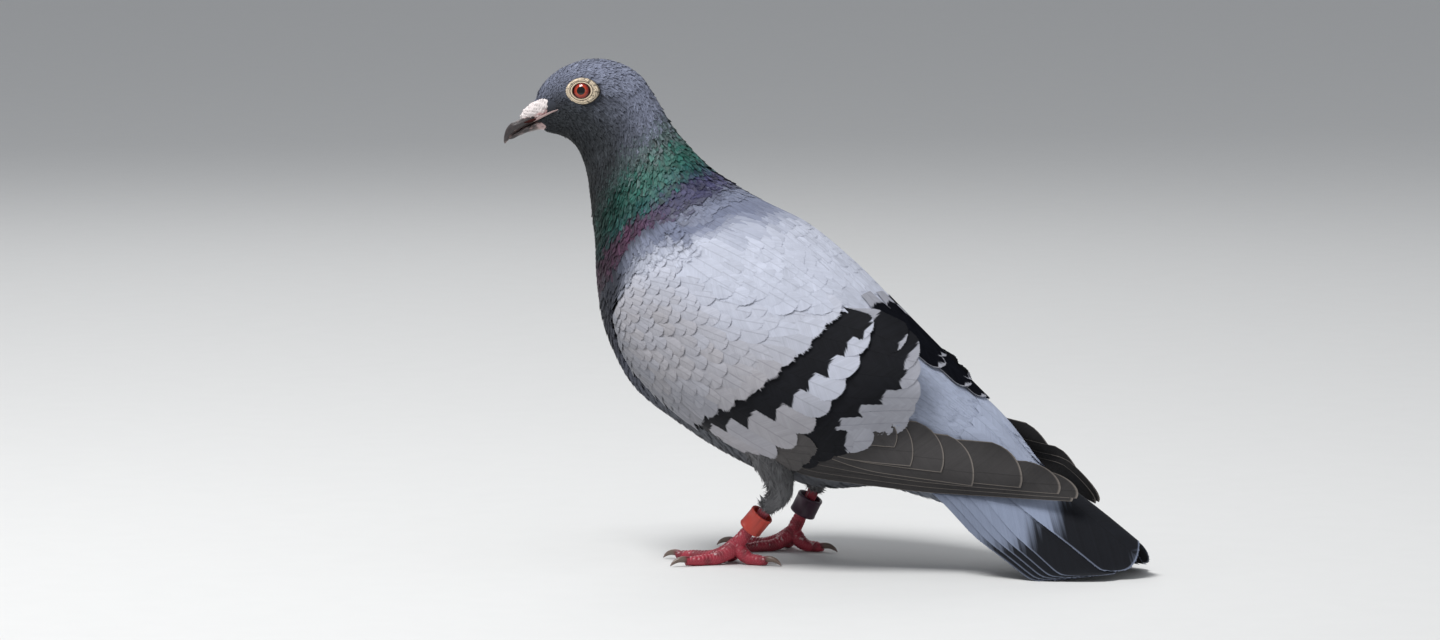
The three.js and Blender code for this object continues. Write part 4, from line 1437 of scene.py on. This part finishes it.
def leg_grid(side, inset, steps=60, around=48):
    """The feathered part of a leg, from the thigh to just below the hock."""
    thigh, knee, hock, ankle = leg_points(side, "thigh", "knee", "hock", "ankle")
    path = [thigh, knee, hock, hock + LEGS[side]["sock"] * (ankle - hock)]
    radii = np.array([13.0, 7.8, 4.5, 2.8]) - inset
    return tube_grid(path, radii, steps, around, top=(0, -1, 0))


def past(y, z, table, back=0.0):
    """True behind the line through a row's tips, or through places that far before them."""
    table = np.array(table, float)
    heading = np.radians(table[:, 2])
    line_y = table[:, 0] - back * np.cos(heading)
    line_z = table[:, 1] + back * np.sin(heading)
    order = np.argsort(line_z)
    return y > np.interp(z, line_z[order], line_y[order])


def wing_skin(points):
    """Colours of the skin under the folded wings, with their bars."""
    x, y, z = points[..., 0], points[..., 1], points[..., 2]
    z = z + np.where(x < 0, RIGHT_TUCK * smooth(y, *RIGHT_TUCK_Y) * smooth(z, 32, 69), 0.0)
    first = past(y, z, MEDIANS) & ~past(y, z, GREATERS, np.array(GREATERS)[:, 5])
    second = past(y, z, GREATERS) & ~past(y, z, SECONDARIES, np.array(SECONDARIES)[:, 5])
    colour = np.broadcast_to(COLOURS["covert"], points.shape)
    colour = np.where((first | second)[..., None], COLOURS["bar"], colour)
    return np.where(past(y, z, SECONDARIES)[..., None], COLOURS["primary"], colour)


def skin(body, hull):
    sculpture = Sculpture("skin")
    s, theta = np.meshgrid(np.linspace(*BODY_SPAN, BODY_ROWS), turns(BODY_COLUMNS), indexing="ij")
    depth = COAT_DEPTH * (0.45 + 0.55 * smooth(s, 6, 10))
    gap = np.linalg.norm(hull.points - body.points, axis=-1)
    depth += WING_DEPTH * smooth(gap, 0.5, 3.5)
    for sign in (1, -1):
        eye = on_head(sign * EYE_OUT, *EYE_AT)
        depth += 1.0 * np.exp(-((np.linalg.norm(hull.points - eye, axis=-1) / 5.5) ** 2))
    inner = hull.points - hull.normals * depth[..., None]
    tint = body_tint(s.ravel(), theta.ravel(), np.random.default_rng(SEED)).reshape(inner.shape)
    on_wing = (gap > 2.5) & ~above_crease(hull.points)
    tint = np.where(on_wing[..., None], wing_skin(hull.points), tint)
    # painted shade: the skin, and below it the legs' skin, is darker than the coat, for the shade in the
    # gaps between feathers
    sculpture.add(inner[::2, ::2], 0.6 * tint[::2, ::2])
    for name in LEGS:
        sculpture.add(leg_grid(name, 1.0)[0], 0.7 * COLOURS["thigh"])
    sculpture.build(painted_material("skin", 0.9, 0.2), "body_plumage", *FLESH)


# ---- Eyes, cere and bill -----------------------------------------------------------------------------

EYE_RADIUS = 4.2
ORBIT_TURN, ORBIT_LEAN = 12.0, 9.0


def eye_frame():
    """The eye's way out, aft and up, in the unturned head's out, along and up."""
    turn, lean = math.radians(ORBIT_TURN), math.radians(ORBIT_LEAN)
    way = np.array([math.cos(lean) * math.cos(turn), -math.cos(lean) * math.sin(turn), math.sin(lean)])
    aft = np.array([math.sin(turn), math.cos(turn), 0.0])
    return way, aft, np.cross(way, aft)


def on_eye(sign, out, aft, up):
    """Points given from the middle of the eye, on either side of the turned head."""
    axes = eye_frame()
    local = out[..., None] * axes[0] + aft[..., None] * axes[1] + up[..., None] * axes[2]
    local = local + (EYE_OUT, *EYE_AT)
    return yawed(local * (sign, 1, 1), 1.0)


def eyeball(side, sign):
    angle = np.linspace(0.0005, math.radians(100), 64)[:, None]
    turn = -sign * turns(96)[None, :]
    r = EYE_RADIUS * np.sin(angle)
    grid = on_eye(sign, EYE_RADIUS * np.cos(angle) + 0 * turn, r * np.cos(turn), r * np.sin(turn))
    r = np.broadcast_to(r, grid.shape[:2])
    spot = np.stack(np.broadcast_arrays(np.cos(turn) * 9, np.sin(turn) * 9, r * 0.6), -1)
    streak = 0.5 * ripple(spot, 1.3, 5)
    colour = blend(COLOURS["iris_inner"], COLOURS["iris"], smooth(r + 0.25 * streak, 1.6, 2.3))
    colour = blend(colour, COLOURS["iris_rim"], smooth(r + 0.2 * streak, 2.3, 2.9))
    colour = blend(COLOURS["pupil"], colour, smooth(r, 1.52, 1.7))
    sculpture = Sculpture(f"eyeball_{side}")
    sculpture.add(grid, colour)
    material = painted_material(f"eye_{side}", 0.06, 0.6, variation=0.05, bump=0.0)
    sculpture.build(material, "eye", f"eye_{side}")


# From the edge of the lids outwards: half length, half height, out from the eye's middle, and colour.
LID_PROFILE = [
    (3.30, 2.78, 2.40, "lid_dark"),
    (3.42, 2.90, 3.02, "lid_dark"),
    (3.62, 3.06, 3.20, "lid_grey"),
    (3.92, 3.30, 3.22, "lid"),
    # lid_dark on this groove row and on the two outermost rows, where the ring sinks under the feathers, is
    # painted shade
    (4.20, 3.54, 3.02, "lid_dark"),
    (4.42, 3.74, 3.18, "lid"),
    (4.80, 4.08, 3.30, "lid"),
    (5.30, 4.46, 3.14, "lid"),
    (5.75, 4.80, 2.70, "lid"),
    (6.15, 5.10, 1.60, "lid_dark"),
    (6.10, 5.05, 0.40, "lid_dark"),
]


def lids(side, sign):
    """The rims of the lids and the wrinkled bare ring round them, pointed at the rear corner."""
    profile = np.array([row[:3] for row in LID_PROFILE])
    colours = np.array([COLOURS[row[3]] for row in LID_PROFILE])
    steps = np.linspace(0, len(profile) - 1, 70)
    fine = catmull(profile, steps)[:, None]
    turn = -sign * turns(140)[None, :]
    share = steps[:, None] / (len(profile) - 1)
    corner = 1 + 0.10 * share * np.maximum(np.cos(turn), 0) ** 6
    front = 1 + 0.04 * share * np.maximum(-np.cos(turn), 0) ** 6
    aft = fine[..., 0] * np.cos(turn) * corner * front
    up = fine[..., 1] * np.sin(turn)
    spot = np.stack(np.broadcast_arrays(aft, up, 0 * aft), -1)
    bare = smooth(share, 0.36, 0.46)
    wrinkle = np.sin(2 * np.pi * (share * 8 + 0.5 * ripple(spot, 2.4, 3))) * bare
    ring = np.stack(np.broadcast_arrays(np.cos(turn) * 9, np.sin(turn) * 9, share * 3), -1)
    spoke = ripple(ring, 1.9, 8)
    crack = np.maximum(smooth(-wrinkle, 0.4, 0.9), smooth(-spoke, 0.55, 1.0) * bare)
    height = fine[..., 2] - 0.16 * crack + 0.05 * ripple(spot, 1.2, 4) * bare
    tint = catmull(colours, np.broadcast_to(steps[:, None], aft.shape))
    # painted shade: the ring darkens in its cracks
    tint = np.clip(tint, 0.01, 1) * (1 - 0.75 * crack)[..., None]
    sculpture = Sculpture(f"lids_{side}")
    sculpture.add(on_eye(sign, height, aft, up), tint, False)
    sculpture.build(painted_material(f"lid_skin_{side}", 0.75, 0.3, 1500), "pale_skin", f"orbit_{side}")


CERE_AT = np.array([0.0, -87.2, 164.0])
CERE_SIZE = np.array([2.7, 7.0, 3.5])
CERE_TILT, CERE_SPLAY, CERE_SPREAD = 27.0, 21.0, 2.5


def cere():
    """Two powdery, warty swellings side by side, with a slit of a nostril under each."""
    sculpture = Sculpture("cere_skin")
    tilt, splay = math.radians(CERE_TILT), math.radians(CERE_SPLAY)
    down = np.linspace(0.02, math.pi - 0.02, 80)[:, None]
    turn = turns(90)[None, :]
    rise = np.broadcast_to(-np.cos(down), (len(down), turn.shape[1]))
    ball = np.stack([np.sin(down) * np.sin(turn), rise, np.sin(down) * np.cos(turn)], -1)
    for sign in (1, -1):
        wart = ripple(ball * CERE_SIZE + sign * 7, 1.1, 22)
        rough = 1 + 0.05 * ripple(ball * CERE_SIZE + sign * 7, 3.0, 21) + 0.035 * wart
        lobe = ball * CERE_SIZE * rough[..., None]
        lobe[..., 2] *= 1 + 0.22 * ball[..., 1]
        x = lobe[..., 0] * math.cos(splay) + sign * lobe[..., 1] * math.sin(splay)
        y = lobe[..., 1] * math.cos(splay) - sign * lobe[..., 0] * math.sin(splay)
        z = lobe[..., 2]
        y, z = y * math.cos(tilt) - z * math.sin(tilt), y * math.sin(tilt) + z * math.cos(tilt)
        at = np.stack([x + sign * CERE_SPREAD, y, z], -1) + CERE_AT
        low = smooth(-ball[..., 2] + 0.3 * ripple(at, 2.5, 9), 0.1, 0.75)
        # painted shade: the cere darkens in the pits between its warts
        pits = 1 - 0.4 * np.clip(-wart, 0, 1)
        tint = blend(COLOURS["cere"], COLOURS["cere_pink"], low) * pits[..., None]
        sculpture.add(yawed(at, 1.0), tint)
        # the nostril slit is a dark tube of painted shade where the nostril opens
        slit = [(sign * 5.0, -87.0, 161.3), (sign * 4.4, -89.4, 160.4), (sign * 3.4, -91.8, 159.7)]
        grid, _, _, _ = tube_grid(slit, [0.2, 0.5, 0.25], 14, 12)
        sculpture.add(yawed(grid, 1.0), COLOURS["iris_rim"] * 0.6)
    sculpture.build(painted_material("cere_skin", 0.85, 0.2, 1600), "pale_skin", "cere")


# Sections of the bill from its root to its tip: top along, up; bottom along, up; half width.
BILL_UPPER = np.array(
    [
        (-84.0, 166.0, -84.0, 161.0, 4.3),
        (-88.0, 164.4, -88.4, 159.5, 4.0),
        (-91.5, 162.0, -91.5, 158.0, 3.5),
        (-94.0, 160.5, -94.0, 156.7, 3.0),
        (-96.7, 159.4, -96.2, 155.1, 2.5),
        (-98.6, 157.3, -97.6, 153.3, 1.9),
        (-99.4, 154.9, -98.5, 152.3, 1.25),
        (-99.6, 152.9, -99.0, 151.7, 0.5),
        (-99.5, 152.2, -99.3, 151.7, 0.15),
    ]
)
BILL_LOWER = np.array(
    [
        (-81.5, 161.6, -81.5, 156.8, 4.3),
        (-86.0, 160.7, -86.0, 156.9, 3.8),
        (-90.0, 158.9, -90.5, 155.9, 3.3),
        (-93.5, 157.1, -93.5, 154.7, 2.6),
        (-96.0, 155.8, -96.2, 153.5, 1.8),
        (-97.8, 154.8, -97.8, 153.3, 0.8),
    ]
)
GAPE = ((4.3, -88.5, 160.4), (5.6, -85.6, 161.9), (7.5, -82.3, 163.6), (9.0, -78.9, 165.0))


def bill_grid(table):
    """One half of the bill; also the share from its root and how far up each point lies."""
    share, angle = np.meshgrid(np.linspace(0, 1, 70), turns(64), indexing="ij")
    row = catmull(table, share * (len(table) - 1))
    rise = np.sin(angle)
    side = np.sign(np.cos(angle)) * np.abs(np.cos(angle)) ** 0.8 * row[..., 4]
    middle, reach = midline(row)
    place = middle + reach * rise[..., None]
    points = on_head(side, place[..., 0], place[..., 1])
    grain = ripple(points * (1, 1, 2.5), 4.0, 61)
    return points + 0.06 * grain[..., None] * (0, 0, 1), share, rise, grain


def bill():
    material = painted_material("horn", 0.36, 0.5, 500, 0.2, 0.15)
    grid, share, rise, grain = bill_grid(BILL_UPPER)
    scuffed = 0.35 * smooth(grain, 0.1, 1.0) + 0.3 * smooth(-rise, 0.5, 0.95)
    upper = Sculpture("bill_horn_upper")
    upper.add(grid, blend(COLOURS["bill"], COLOURS["bill_pale"], np.clip(scuffed, 0, 1)))
    upper.build(material, "horn", "bill_upper")
    grid, share, rise, grain = bill_grid(BILL_LOWER)
    pink = 1 - smooth(share + 0.08 * grain, 0.16, 0.34)
    lower = Sculpture("bill_horn_lower")
    paler = 0.75 * pink + 0.15 * smooth(grain, 0, 1) * (1 - pink)
    lower.add(grid, blend(COLOURS["bill"], COLOURS["gape"], paler))
    for sign in (1, -1):
        path = [(sign * x, y, z) for x, y, z in GAPE]
        line, _, _, _ = tube_grid(path, [0.3, 0.42, 0.36, 0.1], 24, 14)
        lower.add(yawed(line, 1.0), COLOURS["gape"] * 0.55)
    lower.build(material, "horn", "bill_lower")


# ---- Legs, feet and rings ------------------------------------------------------------------------------

LEGS = {
    "left": {
        "thigh": (24, 9, 55), "knee": (25.5, 16, 41), "hock": (26, 20.5, 27.5), "ankle": (26, 2.5, 7.2),
        "ring": 0.44, "sock": 0.32, "toes": (47, -8, -50),
    },
    "right": {
        "thigh": (-23, 7, 57), "knee": (-23, 14, 45), "hock": (-22, 17, 32.5), "ankle": (-22, 3.5, 7.2),
        "ring": 0.40, "sock": 0.36, "toes": (-52, -3, 44),
    },
}
TOE_LENGTHS = (20.0, 26.0, 19.0)
HIND_TOE = (176.0, 12.5)
TOE_NAMES = ("outer", "middle", "inner", "hind")
CLAW_LENGTH = 6.2
SCUTE = 1.35  # length of one scale along a toe or shank
RINGS = {"left": (7.8, 4.5, 3.7), "right": (7.4, 4.9, 4.0)}


def scaled(path, radii, length, front, seed, joints=0):
    """A toe or shank: plates across its front, pebbles round the rest, pads under its joints."""
    grid, way, share, turn = tube_grid(path, radii, int(length / SCUTE * 7), 34, front)
    on_front = smooth(np.cos(turn), 0.1, 0.55)
    phase = (share * length / SCUTE + 0.12 * np.cos(turn)) % 1
    plate = 0.17 * smooth(phase, 0, 0.75) * (1 - smooth(phase, 0.86, 1.0))
    pebble = 0.07 * np.sin(2 * np.pi * share * length / 0.95) * np.sin(turn * 11)
    swelling = np.maximum(np.sin(np.pi * (share * joints + 0.25)), 0) ** 2
    pads = 0.30 * swelling * smooth(-np.cos(turn), -0.2, 0.8)
    height = plate * on_front + pebble * (1 - on_front) + (pads if joints else 0)
    height = height + 0.08 * ripple(grid, 5.0, seed)
    grid = grid + way * height[..., None]
    grid[..., 2] = np.maximum(grid[..., 2], 0.02)
    groove = on_front * (1 - smooth(phase, 0.0, 0.25)) + on_front * smooth(phase, 0.9, 1.0)
    patch = smooth(ripple(grid, 6.0, seed + 1), -0.2, 0.9)
    tint = blend(COLOURS["foot"], COLOURS["foot_dark"], 0.75 * patch)
    tint = blend(tint, COLOURS["foot_dust"], 0.3 * groove + 0.2 * (1 - on_front) * (pebble > 0.03))
    fleck = smooth(ripple(grid, 1.6, seed + 2) + 0.5 * ripple(grid, 5.0, seed + 3), 0.7, 1.1)
    tint = blend(tint, COLOURS["cere"], 0.45 * fleck * on_front)
    return grid, tint


def toe_path(ankle, heading, length):
    ahead = np.array([math.sin(math.radians(heading)), -math.cos(math.radians(heading)), 0.0])
    rise = ankle[2]
    spots = [
        (0, rise), (0.22 * length, 0.52 * rise), (0.45 * length, 2.05), (0.72 * length, 1.8), (length, 1.75),
    ]
    flat = np.array([ankle[0], ankle[1], 0.0])
    return np.array([flat + ahead * reach + (0, 0, height) for reach, height in spots]), ahead


def foot(side):
    ankle, hock = leg_points(side, "ankle", "hock")
    sculpture = Sculpture(f"foot_skin_{side}")
    shank = [hock, (hock + ankle) / 2, ankle + (0, -0.5, -0.8)]
    length = np.linalg.norm(hock - ankle)
    sculpture.add(*scaled(shank, [2.7, 2.0, 2.75], length, (0, -1, 0.4), 31))
    sizes = (*TOE_LENGTHS, HIND_TOE[1])
    headings = (*LEGS[side]["toes"], HIND_TOE[0])
    for number, (name, heading, length) in enumerate(zip(TOE_NAMES, headings, sizes)):
        path, ahead = toe_path(ankle, heading, length)
        radii = [2.7, 2.45, 2.15, 2.0, 1.35]
        joints = max(2, int(length / 7))
        sculpture.add(*scaled(path, radii, length, (0, 0, 1), 40 + number, joints))
        claw(side, name, np.array([ankle[0], ankle[1], 0.0]) + ahead * length, ahead)
    material = painted_material(f"foot_skin_{side}", 0.55, 0.4, 1400, 0.15)
    sculpture.build(material, "foot_skin", f"foot_{side}")


def claw(side, name, end, ahead):
    spots = [(-1.6, 2.15), (0.8, 2.55), (3.0, 2.35), (4.9, 1.5), (CLAW_LENGTH, 0.35)]
    path = np.array([end + ahead * reach + (0, 0, height) for reach, height in spots])
    grid, _, share, _ = tube_grid(path, [1.15, 1.2, 0.95, 0.62, 0.16], 28, 20)
    tint = blend(COLOURS["claw"], COLOURS["bill_pale"], 0.5 * smooth(share, 0.65, 1))
    tint = blend(COLOURS["foot_dark"], tint, smooth(share, 0.1, 0.35))
    sculpture = Sculpture(f"claw_horn_{side}_{name}")
    sculpture.add(grid, tint)
    material = painted_material(f"claw_{side}_{name}", 0.3, 0.5, 700, 0.12)
    sculpture.build(material, "claw", f"claw_{side}_{name}")


def leg_ring(side):
    """A worn plastic band with rounded edges and a shallow groove near each end."""
    ankle, hock = leg_points(side, "ankle", "hock")
    axis = unit(hock - ankle)
    length, outer, inner = RINGS[side]
    half = length / 2
    profile = np.array([
        (inner, -half + 0.3), (inner + 0.2, -half), (outer - 0.2, -half), (outer, -half + 0.25),
        (outer, -half + 0.9), (outer - 0.1, -half + 1.0), (outer - 0.1, half - 1.0),
        (outer, half - 0.9), (outer, half - 0.25), (outer - 0.2, half), (inner + 0.2, half),
        (inner, half - 0.3), (inner, 0.0), (inner, -half + 0.3),
    ])
    aside = unit(np.cross(axis, (1, 0, 0)))
    other = np.cross(axis, aside)
    turn = turns(96)[None, :, None]
    around = aside * np.cos(turn) + other * np.sin(turn)
    centre = ankle + (hock - ankle) * LEGS[side]["ring"]
    grid = centre + profile[:, 1, None, None] * axis + profile[:, 0, None, None] * around
    worn = smooth(ripple(grid, 3.0, 77), 0.2, 1.2)
    tint = COLOURS[f"ring_{side}"] * (1 - 0.45 * worn[..., None])
    sculpture = Sculpture(f"band_{side}")
    sculpture.add(grid, tint, False)
    material = painted_material(f"ring_{side}", 0.42, 0.45, 900, 0.08, 0.1)
    sculpture.build(material, f"ring_{side}", f"ring_{side}")


def leg_coat(rng):
    """The soft feathers of the thighs, down to just below the hock."""
    plumage = Plumage("coat_legs")
    for number, side in enumerate(LEGS):
        points, _, _, _ = leg_grid(side, 0.3, 90, 60)
        chart = Chart(points, (0, 1), (0, 2 * np.pi), wraps=True)
        s, t = rows_over(chart, (0.16, 0.96), lambda s: 2.6 - 1.3 * s, lambda s: 2.6 - 1.2 * s, rng)
        count = len(s)
        length = (9.5 - 5.8 * s) * rng.uniform(0.8, 1.25, count)
        tone = 0.85 + 0.5 * smooth(s, 0.5, 0.9) * smooth(np.cos(t), -0.2, 0.8)
        tone = tone * (1 + 0.12 * rng.normal(0, 1, count))
        tint = COLOURS["thigh"] * tone[:, None]
        grow(
            plumage, chart, s, t, rng.normal(0, 0.16, count), length, 0.38 * length, tint,
            rows=5, columns=5, tip=0.7, roundness=1.5, lift=-0.8, slope=1.0 / length, camber=0.25,
            roll=rng.normal(0, 0.08, count), teeth=18, tooth=0.3 * length, fray=0.8, root_shade=0.45,
            seat=np.stack([s, t + 7.0 * number], -1), rng=rng,
        )
    return plumage


# ---- Stage -----------------------------------------------------------------------------------------


CAMERA_AT = (2.67449, 1.20234, 0.34531)
CAMERA_AIM = (-0.00064, -0.04510, 0.08707)
CAMERA_LENS = 200
CAMERA_SENSOR = 36
CAMERA_NEAREST = 0.05
FLOOR_REACH = 14.0  # metres from the middle to each side
FLOOR_COLOUR = (0.72, 0.72, 0.71)
FLOOR_UNEVEN = 0.02
SKY = (0.86, 0.89, 0.94, 1)
SKY_STRENGTH = 0.42
LIGHTS_AIM = (0, 0, 0.09)
LIGHTS = (  # name, place, size and power
    ("key", (0.6, -0.4, 1.6), 0.8, 26),
    ("fill", (1.6, 1.9, 0.7), 1.4, 2.5),
    ("back", (-1.2, -0.9, 1.2), 0.9, 5),
)


def aim_at(thing, place, aim):
    thing.location = place
    thing.rotation_euler = (Vector(aim) - Vector(place)).to_track_quat("-Z", "Y").to_euler()


def area_light(name, place, size, power):
    data = bpy.data.lights.new(name, "AREA")
    data.shape = "DISK"
    data.size = size
    data.energy = power
    aim_at(linked(name, data), place, LIGHTS_AIM)


def camera():
    data = bpy.data.cameras.new("camera")
    data.lens = CAMERA_LENS
    data.sensor_width = CAMERA_SENSOR
    data.clip_start = CAMERA_NEAREST
    thing = linked("camera", data)
    aim_at(thing, CAMERA_AT, CAMERA_AIM)
    bpy.context.scene.camera = thing


def floor_material():
    """A pale matt surface, very slightly uneven."""
    shader = Shader("floor", Roughness=0.8, Specular_IOR_Level=0.4)
    cloud = shader.noise(shader.node("TexCoord").outputs["Object"], 60.0, 4.0, 0.6)
    tones = [(*[c * (1 + sign * FLOOR_UNEVEN) for c in FLOOR_COLOUR], 1.0) for sign in (-1, 1)]
    shader.put(shader.surface.inputs["Base Color"], shader.mix(cloud, *tones))
    shader.bump(cloud, FLOOR_UNEVEN, 0.0003)
    return shader.material


def floor():
    mesh = bpy.data.meshes.new("floor")
    corners = [(x * FLOOR_REACH, y * FLOOR_REACH, 0) for x, y in ((-1, -1), (1, -1), (1, 1), (-1, 1))]
    mesh.from_pydata(corners, [], [(0, 1, 2, 3)])
    mesh.materials.append(floor_material())
    linked("floor", mesh)


def sky():
    world = bpy.data.worlds.new("studio")
    world.use_nodes = True
    background = world.node_tree.nodes["Background"]
    background.inputs[0].default_value = SKY
    background.inputs[1].default_value = SKY_STRENGTH
    bpy.context.scene.world = world


def stage():
    camera()
    floor()
    sky()
    for name, place, size, power in LIGHTS:
        area_light(name, place, size, power)
    bpy.context.scene.view_settings.view_transform = "Standard"


def main():
    rng = np.random.default_rng(SEED)
    body = body_chart()
    hull = hull_chart(body)
    wing = Flat(wing_chart())
    feathers = plumage_material("plumage")
    neck = plumage_material("neck_plumage", streak=0.6, roughness=0.5, specular=0.28, sheen=0.03)
    matt = plumage_material("matt_plumage", specular=0.0, sheen=0.0)
    tail = plumage_material("tail_plumage", bar="tail_band", rim="tail_tip", streak=0.22, soft=5.0, fray=9.0)
    head_coat(body, rng).build(feathers, "head_plumage")
    neck_coat(body, rng).build(neck, "neck_plumage")
    front_coat(body, hull, rng).build(feathers, "body_plumage")
    mantle_coat(hull, rng).build(feathers, "body_plumage")
    rump_coat(body, rng).build(feathers, "body_plumage")
    tail_coverts(body, rng).build(feathers, "body_plumage")
    far_tertials(body, rng).build(matt, "wing_plumage")
    for side, chart in (("left", wing), ("right", Mirrored(wing))):
        coverts(chart, f"coat_wing_{side}", rng).build(feathers, "wing_plumage")
        flight(chart, f"flight_{side}", PRIMARY_PAINTED_SHADE[side], rng).build(feathers, "wing_plumage")
    tail_coat(rng).build(tail, "tail_plumage")
    leg_coat(rng).build(feathers, "body_plumage")
    skin(body, hull)
    for side, sign in SIDES:
        eyeball(side, sign)
        lids(side, sign)
        foot(side)
        leg_ring(side)
    cere()
    bill()
    stage()


main()
